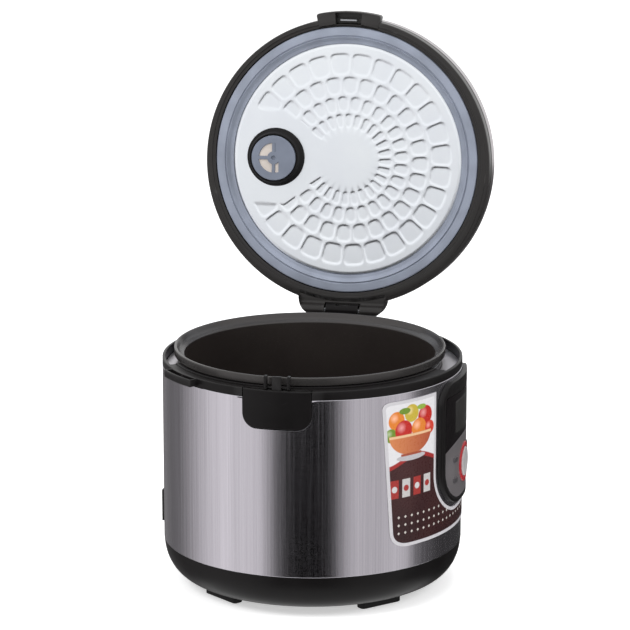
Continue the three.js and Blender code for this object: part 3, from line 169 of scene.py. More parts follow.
# A flat outline set at one level
def atLevel(outline, level):
    return np.column_stack([outline, np.full(len(outline), level)])


# A stack of outlines, each at its own level; the first and last close on a middle point by shrunken copies
def stack(layers, middle=None):
    shares = (0, 0.12, 0.25, 0.37, 0.5, 0.62, 0.75, 0.87, 0.95)
    rings = [atLevel(outline, level) for outline, level in layers]
    for (outline, level), final in ((layers[0], False), (layers[-1], True)):
        c = outline.mean(0) if middle is None else np.asarray(middle, float)
        ends = [atLevel(c + (outline - c) * s, level) for s in shares]
        rings = rings + ends[::-1] if final else ends + rings
    return np.concatenate(rings), gridFaces(len(rings), len(rings[0]), True)


# A plate: one outline carried through layers of (inset, level)
def plate(outline, layers):
    return stack([(inset(outline, by), level) for by, level in layers])


# Layers of a plate whose lower and upper edges are rounded by quarter circles
def softLayers(low, high, lowRound, highRound, cuts=4):
    t = np.linspace(0, math.pi / 2, cuts + 1)
    under = [(lowRound * (1 - math.sin(a)), low + lowRound * (1 - math.cos(a))) for a in t]
    over = [(highRound * (1 - math.cos(a)), high - highRound * (1 - math.sin(a))) for a in t]
    return under + over


# A block with rounded edges: a box's points are drawn to the smaller box swollen by the radius
def softBlock(low, high, radius, cuts=3):
    low, high = np.asarray(low, float), np.asarray(high, float)
    turn = radius * (1 - np.cos(np.linspace(0, math.pi / 2, cuts + 1)))
    axes = [np.concatenate([low[k] + turn, (high[k] - turn)[::-1]]) for k in range(3)]
    points, faces, start = [], [], 0
    for k in range(3):
        u, v = [i for i in range(3) if i != k]
        for side in (low[k], high[k]):
            g = np.empty((len(axes[u]), len(axes[v]), 3))
            g[..., u], g[..., v], g[..., k] = axes[u][:, None], axes[v][None], side
            core = np.clip(g, low + radius, high - radius)
            away = g - core
            size = np.linalg.norm(away, axis=-1, keepdims=True)
            points.append((core + radius * away / np.maximum(size, 1e-9)).reshape(-1, 3))
            faces += (gridFaces(len(axes[u]), len(axes[v])) + start).tolist()
            start += len(axes[u]) * len(axes[v])
    return np.concatenate(points), faces


# Bends a shell round the upright axis: x is a radius, y an arc length on the drum
def bent(shell, middle):
    p = shell[0]
    a = math.radians(middle) + p[:, 1] / bodyRadius
    return np.column_stack([p[:, 0] * np.cos(a), p[:, 0] * np.sin(a), p[:, 2]]), shell[1]


# Lays a shell drawn as (across, up, radius) on the drum, facing an angle measured from the panel side
def onDrum(shell, side=0.0):
    p = shell[0]
    out = -np.sqrt(np.maximum(p[:, 2] ** 2 - p[:, 0] ** 2, 0))
    a = math.radians(side)
    x = p[:, 0] * math.cos(a) - out * math.sin(a)
    y = p[:, 0] * math.sin(a) + out * math.cos(a)
    return np.column_stack([x, y, p[:, 1]]), shell[1]


# A thin film on the drum between two edge curves: every column runs up the front and down the back
def film(across, low, high, outer, wall, rows=24):
    s = np.linspace(0, 1, rows)
    up = low[:, None] * (1 - s) + high[:, None] * s
    face = np.stack([np.broadcast_to(across[:, None], up.shape), up, np.full(up.shape, outer)], -1)
    back = face[:, ::-1] - [0, 0, wall]
    return onDrum(swept(np.concatenate([face, back], 1)))


def moved(shell, by):
    return shell[0] + np.asarray(by, float), shell[1]


# A flat disc whose level is carved by a depth function of x and y; its plain side lies a wall away
def carvedDisc(radii, steps, level, wall, depth):
    a = np.linspace(0, 2 * math.pi, steps, endpoint=False)
    r = np.concatenate([radii, radii[::-1]])[:, None]
    x, y = r * np.cos(a), r * np.sin(a)
    z = np.where(np.arange(len(r))[:, None] < len(radii), level + depth(x, y), level + wall)
    return np.stack([x, y, z], -1).reshape(-1, 3), gridFaces(len(r), steps, True)


# Distance to a rectangle with rounded corners, negative inside: the length of what reaches past its core
def boxDistance(u, v, halfU, halfV, corner):
    a, b = np.abs(u) - halfU + corner, np.abs(v) - halfV + corner
    return np.hypot(np.maximum(a, 0), np.maximum(b, 0)) + np.minimum(np.maximum(a, b), 0) - corner


# A smooth step down from 1 inside to 0 outside, over twice the width: t^2 (3 - 2t)
def smooth(distance, width):
    t = np.clip(0.5 - distance / (2 * width), 0, 1)
    return t * t * (3 - 2 * t)


# One object from several closed shells; doubles are merged and, where asked, all faces turned outwards
def makePiece(name, shells, toRow, body, finishName, stands=(), crease=34, turnFaces=True):
    points, faces, start = [], [], 0
    for p, f in shells:
        points.append(toRow(p))
        faces += [[int(i) + start for i in face] for face in f]
        start += len(p)
    mesh = bpy.data.meshes.new(name)
    mesh.from_pydata(np.concatenate(points).tolist(), [], faces)
    bm = bmesh.new()
    bm.from_mesh(mesh)
    bmesh.ops.remove_doubles(bm, verts=bm.verts, dist=2e-6)
    bmesh.ops.dissolve_degenerate(bm, edges=bm.edges, dist=1e-6)
    if turnFaces:
        bmesh.ops.recalc_face_normals(bm, faces=bm.faces)
    bm.to_mesh(mesh)
    bm.free()
    mesh.polygons.foreach_set("use_smooth", np.ones(len(mesh.polygons), bool))
    mesh.set_sharp_from_angle(angle=math.radians(crease))
    mesh.materials.append(finish[finishName])
    piece = bpy.data.objects.new(name, mesh)
    bpy.context.scene.collection.objects.link(piece)
    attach(piece, body)
    if stands:
        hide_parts(*stands)
    return piece


# Gives a sheet its wall, inwards from the drawn surface
def thicken(piece, wall):
    solid = piece.modifiers.new("wall", "SOLIDIFY")
    solid.thickness = wall * mm
    solid.offset = -1.0
    solid.use_even_offset = True


# A small writer for node trees: add gives the new node, the calls below it give the node's output
class Nodes:
    def __init__(self, owner):
        owner.use_nodes = True
        self.tree = owner.node_tree

    def put(self, socket, value):
        if isinstance(value, bpy.types.NodeSocket):
            self.tree.links.new(value, socket)
        else:
            socket.default_value = value

    def add(self, kind, inputs=None, **settings):
        node = self.tree.nodes.new("ShaderNode" + kind)
        for key, value in settings.items():
            setattr(node, key, value)
        for key, value in (inputs or {}).items():
            self.put(node.inputs[key], value)
        return node

    def math(self, operation, a, b=0.0, c=0.0):
        return self.add("Math", {0: a, 1: b, 2: c}, operation=operation).outputs[0]

    def scaled(self, vector, scale):
        return self.add("Mapping", {"Vector": vector, "Scale": scale}).outputs[0]

    def noise(self, vector, scale, detail=3.0, rough=0.5):
        inputs = {"Vector": vector, "Scale": scale, "Detail": detail, "Roughness": rough}
        return self.add("TexNoise", inputs).outputs["Fac"]

    def ramp(self, factor, low, high, lowOut=0.0, highOut=1.0):
        return self.add("MapRange", dict(enumerate((factor, low, high, lowOut, highOut)))).outputs[0]

    def mix(self, factor, a, b):
        a, b = [c if isinstance(c, bpy.types.NodeSocket) else (*c, 1) for c in (a, b)]
        return self.add("Mix", {0: factor, 6: a, 7: b}, data_type="RGBA").outputs[2]

    def split(self, vector):
        return self.add("SeparateXYZ", {0: vector}).outputs


# The nodes of one finish, written round its shader; grid holds the piece's own coordinates
class Finish(Nodes):
    def __init__(self, name):
        self.material = bpy.data.materials.new(name)
        super().__init__(self.material)
        self.shader = self.tree.nodes["Principled BSDF"]
        self.grid = self.add("TexCoord").outputs["Object"]

    def set(self, **values):
        for key, value in values.items():
            self.put(self.shader.inputs[key.replace("_", " ")], value)

    def bump(self, height, strength, distance):
        relief = {"Height": height, "Strength": strength, "Distance": distance}
        self.set(Normal=self.add("Bump", relief).outputs[0])


# A colour times a factor plus a lift, at most 1
def shade(colour, factor, lift=0.0):
    return tuple(min(1.0, c * factor + lift) for c in colour)


# Moulded plastic: fine grain, faint cloudy gloss changes and a paler edge that is partly wear and partly a
# painted highlight along the sharp edges
def plastic(name, colour, rough, grain=0.06, grainSize=2600, level=0.5, edgeWearAndSheen=0.12):
    n = Finish(name)
    cloud, fine = n.noise(n.grid, 35, 2), n.noise(n.grid, grainSize, 2, 0.6)
    # Pointiness lightens the sharp edges: partly edge wear, partly a painted highlight
    paleEdgeWearAndHighlight = n.math("MULTIPLY", n.ramp(n.add("NewGeometry").outputs["Pointiness"], 0.52, 0.62), edgeWearAndSheen)
    base = n.mix(n.ramp(cloud, 0.3, 0.7), shade(colour, 0.86), shade(colour, 1.12))
    n.set(Base_Color=n.mix(paleEdgeWearAndHighlight, base, shade(colour, 2.2, 0.06)))
    n.set(Roughness=n.ramp(n.mix(0.5, cloud, fine), 0.25, 0.75, rough - 0.05, rough + 0.07))
    n.set(Specular_IOR_Level=level)
    n.bump(fine, grain, 0.00012)
    return n.material


# Metal with a plain fine tooth, such as zinc plate, cast or satin aluminium
def metal(name, colour, rough, tooth=900, bump=0.1, spread=0.1):
    n = Finish(name)
    cloud, fine = n.noise(n.grid, 18, 4, 0.55), n.noise(n.grid, tooth, 3, 0.6)
    n.set(Base_Color=n.mix(n.ramp(cloud, 0.3, 0.7), shade(colour, 1 - spread), shade(colour, 1 + spread)))
    n.set(Metallic=1.0, Roughness=n.ramp(fine, 0.25, 0.75, rough - 0.06, rough + 0.08))
    n.bump(fine, bump, 0.0001)
    return n.material


# Brushed sheet: noise drawn out along the brushing makes the lines in colour, gloss and relief
def brushed(name, colour, rough, stretch, lean=0.55):
    n = Finish(name)
    lines = n.noise(n.scaled(n.grid, stretch), 1.0, 4, 0.65)
    broad = n.noise(n.scaled(n.grid, tuple(s * 0.12 for s in stretch)), 1.0, 3, 0.5)
    tone = n.mix(n.ramp(lines, 0.25, 0.75), shade(colour, 0.84), shade(colour, 1.14))
    tone = n.mix(n.math("MULTIPLY", n.ramp(broad, 0.35, 0.65), 0.35), tone, shade(colour, 0.82))
    warm = (colour[0] * 1.05, colour[1] * 0.98, colour[2])
    n.set(Base_Color=n.mix(n.math("MULTIPLY", n.noise(n.grid, 9, 2), 0.12), tone, warm))
    n.set(Metallic=1.0, Roughness=n.ramp(lines, 0.2, 0.8, rough - 0.05, rough + 0.08))
    n.set(Anisotropic=lean, Tangent=n.add("Tangent", direction_type="RADIAL", axis="Z").outputs[0])
    n.bump(lines, 0.05, 0.00008)
    return n.material


# Non-stick coating: near black with fine pale speckle and a satin gloss; the flange is paler and smoother
def nonStick():
    n = Finish("nonStickCoating")
    speck, cloud = n.noise(n.grid, 1500, 2, 0.7), n.noise(n.grid, 14, 3)
    flange = n.ramp(n.split(n.grid)[2], 0.2140, 0.2152)
    tone = n.mix(n.ramp(cloud, 0.3, 0.7), (0.025, 0.020, 0.0185), (0.034, 0.0275, 0.025))
    tone = n.mix(n.ramp(speck, 0.62, 0.72, 0.0, 0.6), tone, (0.12, 0.105, 0.10))
    n.set(Base_Color=n.mix(flange, tone, (0.055, 0.051, 0.050)), Metallic=n.ramp(flange, 0, 1, 0.35, 0.45))
    n.set(Roughness=n.ramp(flange, 0, 1, n.ramp(speck, 0.3, 0.7, 0.30, 0.42), 0.26))
    n.bump(speck, 0.08, 0.0001)
    return n.material


# The label's picture, in millimetres of film: u is arc length and v height
picture = {
    "mapScale": 100.0, "border": 3.0, "borderSoft": 0.2,
    "wave": (0.085, -0.6, 5.0),             # radians per mm, start, height
    "waveLevels": (134.0, 138.0), "waveSoft": 0.4,
    "white": (0.74, 0.73, 0.75), "red": (0.52, 0.024, 0.018), "orange": (0.74, 0.22, 0.03),
    "green": (0.16, 0.27, 0.03), "darkRed": (0.36, 0.035, 0.03), "pale": (0.55, 0.53, 0.52),
    "cellPitch": 7.5, "tileFirst": -111.0, "tileStep": 13.0, "tileHalf": 4.5,
}


# A soft-edged disc: a ramp of the distance to its middle, the upright part times a factor that flattens it
def discMask(n, u, v, x, y, radius, soft=0.35, flat=1.0):
    across = n.math("POWER", n.math("SUBTRACT", u, x), 2.0)
    up = n.math("POWER", n.math("MULTIPLY", n.math("SUBTRACT", v, y), flat), 2.0)
    return n.ramp(n.math("SQRT", n.math("ADD", across, up)), radius + soft, radius - soft)


# A soft-edged bar: the product of a ramp across and a ramp up
def barMask(n, u, v, left, right, low, high, soft=0.3):
    masks = []
    for along, start, end in ((u, left, right), (v, low, high)):
        away = n.math("ABSOLUTE", n.math("SUBTRACT", along, (start + end) / 2))
        masks.append(n.ramp(away, (end - start) / 2 + soft, (end - start) / 2 - soft))
    return n.math("MULTIPLY", *masks)


# Distance from the middle of a repeated cell, from 0 to half a cell
def cellAway(n, along, start):
    turns = n.math("FRACT", n.math("DIVIDE", n.math("ADD", along, start), picture["cellPitch"]))
    return n.math("ABSOLUTE", n.math("SUBTRACT", turns, 0.5))


# The picture's shapes from back to front, each a mask and a colour: a waved ground, a bowl of round fruit
# on its stand, rows of small diamonds and four tiles
def labelShapes(n, u, v):
    def disc(*values, **more):
        return discMask(n, u, v, *values, **more)

    def bar(*values):
        return barMask(n, u, v, *values)

    white, red, orange, green, darkRed, pale = [
        picture[k] for k in ("white", "red", "orange", "green", "darkRed", "pale")]
    perMm, first, tall = picture["wave"]
    soft = picture["waveSoft"]
    wave = n.math("MULTIPLY_ADD", n.math("SINE", n.math("MULTIPLY_ADD", u, perMm, first)), tall, v)
    for level, colour in zip(picture["waveLevels"], ((0.36, 0.03, 0.028), white)):
        yield n.ramp(wave, level - soft, level + soft), colour
    yield disc(-92, 139.5, 17.0, flat=5.5), (0.50, 0.48, 0.50)
    for x, y, radius, colour in (
        (-109, 175, 8.6, orange), (-92, 180, 8.2, (0.56, 0.42, 0.05)), (-75, 175, 9.2, red),
        (-115, 162, 6.4, green), (-101, 165, 9.6, red), (-83, 165, 9.0, orange),
        (-69, 163, 6.2, (0.62, 0.05, 0.03)),
    ):
        shine = radius * 0.3
        yield disc(x, y, radius), colour
        yield disc(x - shine, y + radius * 0.32, shine, radius * 0.28), shade(colour, 1, 0.3)
    yield disc(-100, 183, 6.4, flat=2.2), green
    yield disc(-80, 184, 5.6, flat=2.4), (0.28, 0.42, 0.06)
    bowl = n.math("MULTIPLY", disc(-92, 161, 25.0, flat=1.32), n.ramp(v, 161.4, 160.8))
    yield bowl, n.mix(n.ramp(u, -118, -70), (0.66, 0.24, 0.09), (0.42, 0.09, 0.04))
    yield n.math("MULTIPLY", bar(-117, -67, 158.6, 160.9), bowl), (0.80, 0.52, 0.30)
    yield bar(-104, -80, 141.2, 143.4), (0.36, 0.08, 0.04)
    diamond = n.ramp(n.math("ADD", cellAway(n, u, 200), cellAway(n, v, 1.5)), 0.22, 0.16)
    yield n.math("MULTIPLY", diamond, bar(-108.5, 40, 66.0, 88.5)), (0.60, 0.56, 0.52)
    for k in range(4):
        x, half = picture["tileFirst"] + picture["tileStep"] * k, picture["tileHalf"]
        yield bar(x - half, x + half, 103, 120), pale if k % 2 else darkRed
        yield disc(x, 111.5, 2.9), darkRed if k % 2 else (0.62, 0.60, 0.60)


# Printed film: brown ground with the picture, in a pale border; the rim map holds the distance to the edge
def labelPrint():
    n = Finish("labelFilm")
    scale = (picture["mapScale"], picture["mapScale"], 1)
    filmMap, rimMap = [
        n.split(n.scaled(n.add("UVMap", uv_map=name).outputs[0], scale)) for name in ("film", "rim")]
    u, v, edge = filmMap[0], filmMap[1], rimMap[0]
    ground = n.mix(n.ramp(v, 60, 150), (0.030, 0.012, 0.013), (0.060, 0.019, 0.020))
    patches = n.math("MULTIPLY", n.ramp(n.noise(n.grid, 30, 3), 0.4, 0.7), 0.3)
    tone = n.mix(patches, ground, (0.080, 0.030, 0.028))
    for shape, colour in labelShapes(n, u, v):
        tone = n.mix(shape, tone, colour)
    border, soft = picture["border"], picture["borderSoft"]
    tone = n.mix(n.ramp(edge, border + soft, border - soft), tone, (0.60, 0.585, 0.61))
    gloss = n.ramp(n.noise(n.grid, 400, 2), 0.3, 0.7, 0.24, 0.34)
    n.set(Base_Color=tone, Roughness=gloss, Specular_IOR_Level=0.25)
    n.bump(n.noise(n.grid, 90, 2), 0.03, 0.0002)
    return n.material


finish = {
    # bodyBlack and lidBlack take a strong pale edge: a painted highlight along their edges as well as wear
    "bodyBlack": plastic("bodyBlack", (0.0066, 0.0058, 0.0060), 0.32, level=0.15, edgeWearAndSheen=0.4),
    "lidBlack": plastic("lidBlack", (0.0155, 0.0138, 0.0132), 0.34, level=0.4, edgeWearAndSheen=0.4),
    "softBlack": plastic("softBlack", (0.0075, 0.0070, 0.0072), 0.6, grain=0.12, level=0.2),
    "steel": brushed("brushedSteel", (0.64, 0.622, 0.672), 0.17, (620, 620, 5), 0.3),
    "coverSteel": brushed("coverSteel", (0.56, 0.54, 0.55), 0.30, (5, 620, 620)),
    "silverDeck": metal("silverDeck", (0.66, 0.64, 0.67), 0.38, tooth=2400, bump=0.05, spread=0.05),
    "zinc": metal("zincPlate", (0.42, 0.43, 0.45), 0.42, tooth=700, spread=0.16),
    "zincScrew": metal("zincScrew", (0.50, 0.50, 0.49), 0.35, tooth=1400),
    "castAluminium": metal("castAluminium", (0.42, 0.43, 0.44), 0.55, tooth=420, bump=0.4),
    "plateAluminium": metal(
        "plateAluminium", (0.90, 0.935, 0.99), 0.34, tooth=2600, bump=0.04, spread=0.03),
    "silicone": plastic("sealSilicone", (0.270, 0.298, 0.366), 0.5, grain=0.05, level=0.4, edgeWearAndSheen=0.05),
    "smoked": plastic("smokedCap", (0.165, 0.187, 0.240), 0.34),
    "capInsert": plastic("capInsert", (0.60, 0.54, 0.49), 0.5, grain=0.1, edgeWearAndSheen=0.0),
    "panelSilver": plastic("panelSilver", (0.125, 0.115, 0.12), 0.30, grain=0.10, grainSize=5200),
    "window": plastic("displayWindow", (0.0075, 0.0062, 0.0068), 0.16, grain=0.01, level=0.25, edgeWearAndSheen=0.0),
    "displayGlass": plastic("displayGlass", (0.030, 0.029, 0.028), 0.14, grain=0.01, level=0.3, edgeWearAndSheen=0.0),
    "startButton": plastic("startButton", (0.50, 0.485, 0.49), 0.3, grain=0.05),
    "panelButton": plastic("panelButton", (0.055, 0.05, 0.055), 0.35, grain=0.05),
    "red": plastic("ringRed", (0.42, 0.012, 0.02), 0.28, grain=0.03),
    "board": plastic("circuitBoard", (0.03, 0.105, 0.045), 0.5, grain=0.5, grainSize=420),
    "nonStick": nonStick(),
    "label": labelPrint(),
}
print("multicooker: finishes ready")

# Base shell: a quarter ellipse from the flat floor to the steel's foot, with a spigot inside the steel
base = {
    "flat": 112.0, "side": 138.1, "bottom": 0.7, "shoulder": 35.2, "wall": 3.0, "lap": 9.0, "steps": 224,
    "spigot": 11.0, "spigotIn": 134.5, "spigotOut": 137.0,
    "slots": 8, "slotMiddle": 72.0, "slotLength": 26.0, "slotWidth": 4.0, "slotCorner": 1.8,
    "slotDeep": 2.4, "slotEdge": 0.35, "floorSteps": 640,
}


def quarterEllipse(flat, side, low, high, steps=20):
    a = np.linspace(0, math.pi / 2, steps)
    return np.column_stack([flat + (side - flat) * np.sin(a), high - (high - low) * np.cos(a)])


def baseWall(b):
    floorTop, spigotTop = b["bottom"] + b["wall"], b["shoulder"] + b["spigot"]
    outer = quarterEllipse(b["flat"], b["side"], b["bottom"], b["shoulder"])
    inner = quarterEllipse(b["flat"] - b["wall"], b["spigotIn"], floorTop, b["shoulder"])[::-1]
    top = softProfile([
        [b["side"], b["shoulder"] - 0.8], [b["side"], b["shoulder"]], [b["spigotOut"], b["shoulder"]],
        [b["spigotOut"], spigotTop], [b["spigotIn"], spigotTop], [b["spigotIn"], b["shoulder"]],
    ], [0, 0.5, 0, 0.5, 0.5, 0], 3, False)
    start = b["flat"] - b["lap"]
    return np.concatenate([[[start, b["bottom"]]], outer[:-1], top, inner[1:], [[start, floorTop]]])


# Air slots in the floor: long boxes along the radii, one in each equal turn
def slotDepth(x, y):
    turn = 2 * math.pi / base["slots"]
    a, r = (np.arctan2(y, x) % turn) - turn / 2, np.hypot(x, y)
    halfLong, halfWide = base["slotLength"] / 2, base["slotWidth"] / 2
    d = boxDistance(
        r * np.cos(a) - base["slotMiddle"], r * np.sin(a), halfLong, halfWide, base["slotCorner"])
    return base["slotDeep"] * smooth(d, base["slotEdge"])


# Rows of the floor stand close together only where the slots are
slotReach = base["slotLength"] / 2 + 2
slotRows = np.linspace(base["slotMiddle"] - slotReach, base["slotMiddle"] + slotReach, 46)
floorRadii = np.concatenate([[0, 20, 40, 56], slotRows, [90, 98, 105]])
makePiece("baseShell", [
    turned(baseWall(base), base["steps"]),
    carvedDisc(floorRadii, base["floorSteps"], base["bottom"], base["wall"], slotDepth),
], fromBody, "housing", "bodyBlack", ["base_shell"])

# Feet: rounded pads under the base's edge
footShape = {
    "length": 44.0, "width": 11.0, "corner": 4.0, "low": -6.0, "top": 0.4, "circle": 106.0,
    "angles": [52.5, 137.1, 232.5, 317.1],
}


# A pad is drawn at the panel side and turned to its angle
def footPad(f, angle):
    halfLong, halfWide = f["length"] / 2, f["width"] / 2
    outline = softRectangle(
        -halfLong, halfLong, -f["circle"] - halfWide, -f["circle"] + halfWide, f["corner"], cuts=6)
    layers = [(0.9, f["low"]), (0.25, f["low"] + 0.35), (0, f["low"] + 0.9), (0, f["top"])]
    points, faces = plate(outline, layers)
    a = math.radians(angle)
    turn = np.array([[math.cos(a), -math.sin(a), 0], [math.sin(a), math.cos(a), 0], [0, 0, 1]])
    return points @ turn.T, faces


for k, angle in enumerate(footShape["angles"], 1):
    pad = footPad(footShape, angle)
    makePiece(f"foot{k}", [pad], fromBody, "housing", "softBlack", [f"foot_{k}"])

# Notches beside which the columns run at a constant Y: middle, half width, side of the body and inner limit
leverNotch = {"side": -1, "middle": potShift, "half": 31.9, "limit": 134.0, "low": 171.5, "corner": 13.4}
slotNotch = {"side": -1, "middle": potShift, "half": 5.5, "flat": 127.8}
bracketNotch = {"side": 1, "middle": potShift, "half": 16.15, "flat": 130.8, "low": 190.3}


# Columns round the body as (angle, constant Y, side): even steps, but each side of a notch gets two columns
# a hair apart at a constant Y, and each cut angle two columns a hair apart
def roundColumns(step, notches, cuts=()):
    inmost = 118.0
    a = np.arange(-180, 180, step) + step / 2
    edges = []
    for n in notches:
        for way in (-1, 1):
            y = n["middle"] + way * n["half"]
            reach = [math.degrees(math.asin(y / r)) for r in (bodyRadius, inmost)]
            if n["side"] < 0:
                reach = [wrapped(180 - v) for v in reach]
            if abs(reach[0] - reach[1]) < 90:
                a = a[(a < min(reach) - 0.15) | (a > max(reach) + 0.15)]
            for hair in (-0.01, 0.01):
                nominal = math.degrees(math.asin((y + hair) / bodyRadius))
                edges.append((nominal if n["side"] > 0 else 180 - nominal, y + hair, n["side"]))
    columns = [(v, None, 0) for v in a if all(abs(v - c) > 0.2 for c in cuts)] + edges
    columns = [(wrapped(angle), y, side) for angle, y, side in columns]
    columns += [(c + hair, None, 0) for c in cuts for hair in (-0.004, 0.004)]
    return sorted(columns, key=lambda c: c[0])


# Points of one column: r and z given, the angle is the column's own or follows from its constant Y
def columnPoints(column, r, z):
    angle, y, side = column
    if y is None:
        a = math.radians(angle)
        return np.column_stack([r * math.cos(a), r * math.sin(a), z])
    return np.column_stack([side * np.sqrt(np.maximum(r ** 2 - y ** 2, 0)), np.full(len(r), y), z])


# A column is in a notch when it is on the notch's side and less than half its width from the middle
def inNotch(column, notch):
    angle, y, side = column
    if y is None:
        a = math.radians(angle)
        facing, y = bodyRadius * math.cos(a) * notch["side"] > 0, bodyRadius * math.sin(a)
    else:
        facing = side == notch["side"]
    return facing and abs(y - notch["middle"]) < notch["half"]


# Steel shell: the drum's surface, its top edge following the lever's and the bracket's notches
steel = {
    "low": 35.5, "high": 199.6, "wall": 1.0, "step": 1.5, "near": 0.4, "evenTo": 170.0,
    "panelHalf": 42.0, "panelLow": 88.0, "panelHigh": 184.0,
    "inletHalf": 14.9, "inletLow": 46.6, "inletHigh": 69.4,
}


# Top edge of the steel at a column: the lever's notch has a floor with two quarter circles
def steelTop(column):
    top = steel["high"]
    angle, y, side = column
    across = y if y is not None else bodyRadius * math.sin(math.radians(angle))
    if inNotch(column, leverNotch):
        corner = leverNotch["corner"]
        past = max(0.0, abs(across - leverNotch["middle"]) - (leverNotch["half"] - corner))
        top = leverNotch["low"] + corner - math.sqrt(max(corner ** 2 - past ** 2, 0))
    if inNotch(column, bracketNotch):
        top = bracketNotch["low"]
    return top


# Faces of an opening: between two heights, near the middle of one side
def inOpening(middle, side, half, low, high):
    x, y, z = middle.T
    return (np.abs(x) < half) & (y * side > 0) & (z > low) & (z < high)


# The drum: r is the body's radius; z takes fixed levels and from there runs by shares to the column's own top
def steelDrum(s):
    panelEdge, inletEdge = [math.degrees(math.asin(s[k] / bodyRadius)) for k in ("panelHalf", "inletHalf")]
    inwards = (0.4, 1.2, 2.4, 4.0, 6.2, 8.8, 11.6)
    cornerY = [leverNotch["middle"] + way * (leverNotch["half"] - u) for way in (-1, 1) for u in inwards]
    fine = [(wrapped(180 - math.degrees(math.asin(y / bodyRadius))), None, 0) for y in cornerY]
    cuts = [-90 - panelEdge, -90 + panelEdge, 90 - inletEdge, 90 + inletEdge]
    columns = roundColumns(s["step"], [leverNotch, bracketNotch], cuts)
    columns = sorted(columns + fine, key=lambda c: c[0])
    near, evenTo = s["near"], s["evenTo"]
    levels = np.array([
        s["low"], s["low"] + near, s["inletLow"] - near, s["inletLow"], s["inletHigh"],
        s["inletHigh"] + near, s["panelLow"] - near, s["panelLow"], 130.0, 160.0, evenTo,
    ])
    shares = np.append(np.linspace(0, 1, 16)[1:-1], [0.986, 1.0])
    grid = []
    for c in columns:
        z = np.concatenate([levels, evenTo + (steelTop(c) - evenTo) * shares])
        grid.append(columnPoints(c, np.full(len(z), bodyRadius), z))
    grid = np.array(grid).transpose(1, 0, 2)
    faces = gridFaces(len(grid), len(columns), True)
    points = grid.reshape(-1, 3)
    middle = points[faces].mean(1)
    panelOpening = inOpening(middle, -1, s["panelHalf"], s["panelLow"], s["panelHigh"])
    inletOpening = inOpening(middle, 1, s["inletHalf"], s["inletLow"], s["inletHigh"])
    return points, faces[~(panelOpening | inletOpening)]


steelPiece = makePiece(
    "steelShell", [steelDrum(steel)], fromBody, "housing", "steel", ["steel_shell"],
    turnFaces=False)
thicken(steelPiece, steel["wall"])


# Distance from the body's axis to a circle about the pot's axis, seen along an angle
def potCircle(angle, radius):
    return potShift * math.sin(angle) + math.sqrt(radius ** 2 - (potShift * math.cos(angle)) ** 2)


# Top ring: one closed section carried round the body; its points move where decks, lever and bracket are
ring = {
    "bore": 119.3, "low": 195.6, "spigotIn": 134.6, "spigotOut": 137.0, "spigotLow": 188.9,
    "under": 199.9, "lipIn": 135.6, "deckFloor": 198.0, "deckIn": 121.7, "collarOut": 128.5,
    "collarTop": 208.8, "seat": 122.3, "seatLevel": 204.4, "step": 1.5,
    "decks": [(-105.0, -35.0), (45.0, 120.0)],
    "lugRoot": 133.5, "lugReach": 146.6, "lugLow": 200.7, "lugRim": 1.6, "lugPocket": 3.0,
    "lugMiddle": 135.0, "lugSpan": 18.0,
}


def ringSection(column):
    a = math.radians(column[0])
    inDeck = any(first < column[0] < last for first, last in ring["decks"])

    def deck(plain, sunk):
        return sunk if inDeck else plain

    bore, seatWall, collar, wall = [
        potCircle(a, ring[k]) for k in ("bore", "seat", "collarOut", "deckIn")]
    topLevel = deck(ring["collarTop"], ring["seatLevel"])
    section = softProfile([
        [bore, ring["low"]], [ring["spigotIn"], ring["low"]], [ring["spigotIn"], ring["spigotLow"]],
        [ring["spigotOut"], ring["spigotLow"]], [ring["spigotOut"], ring["under"]],
        [bodyRadius, ring["under"]], [bodyRadius, lipTop], [ring["lipIn"], lipTop],
        [deck(collar + 0.6, ring["lipIn"] - 0.02), deck(lipTop, ring["deckFloor"])],
        [deck(collar, wall), deck(lipTop + 0.1, ring["deckFloor"])], [deck(collar, wall), topLevel],
        [deck(seatWall, wall - 0.05), topLevel], [deck(seatWall, wall - 0.1), ring["seatLevel"]],
        [bore, ring["seatLevel"]],
    ], [0.3, 0, 0, 0, 0, 0.35, 1.0, 0.5, 0, 0, deck(0.7, 0.02), deck(0.4, 0.02), 0, 0.2], 4)
    r = section[:, 0]
    if inNotch(column, leverNotch):
        r = np.minimum(r, leverNotch["limit"])
    for notch in (slotNotch, bracketNotch):
        if inNotch(column, notch):
            r = np.minimum(r, notch["flat"] / abs(math.cos(a)))
    return columnPoints(column, r, section[:, 1])


# The lug on the ring: a small tray drawn as radius and arc, hollow on top
def lugTray(v):
    arc, rim = math.radians(v["lugSpan"]) * bodyRadius / 2, v["lugRim"]
    outer = softRectangle(v["lugRoot"], v["lugReach"], -arc, arc, 0.4, cuts=3)
    inner = softRectangle(bodyRadius + 1.0, v["lugReach"] - rim, -arc + rim, arc - rim, 1.2, cuts=3)
    outer, inner = finer(2.0, outer, inner)
    low, top = v["lugLow"], lipTop - 0.02
    return bent(stack([
        (inset(outer, 1.0), low), (inset(outer, 0.3), low + 0.3), (outer, low + 1.0),
        (outer, top - 0.5), (inset(outer, 0.15), top - 0.15), (inset(outer, 0.5), top),
        (inset(inner, -0.35), top), (inset(inner, -0.1), top - 0.1), (inner, top - 0.4),
        (inner, top - v["lugPocket"]),
    ]), v["lugMiddle"])


deckEnds = [end for pair in ring["decks"] for end in pair]
ringColumns = roundColumns(ring["step"], [leverNotch, slotNotch, bracketNotch], deckEnds)
ringShell = swept(np.array([ringSection(c) for c in ringColumns]), True)
makePiece(
    "topRing", [ringShell, lugTray(ring)], fromBody, "housing", "bodyBlack", ["top_ring"])

# Decks: flat plates between the lip and a circle about the pot's axis
deckShape = {
    "inner": 122.2, "outer": 135.1, "low": 198.3, "high": 199.3, "gap": 0.5, "gapRadius": 135.0,
    "sections": 60,
}


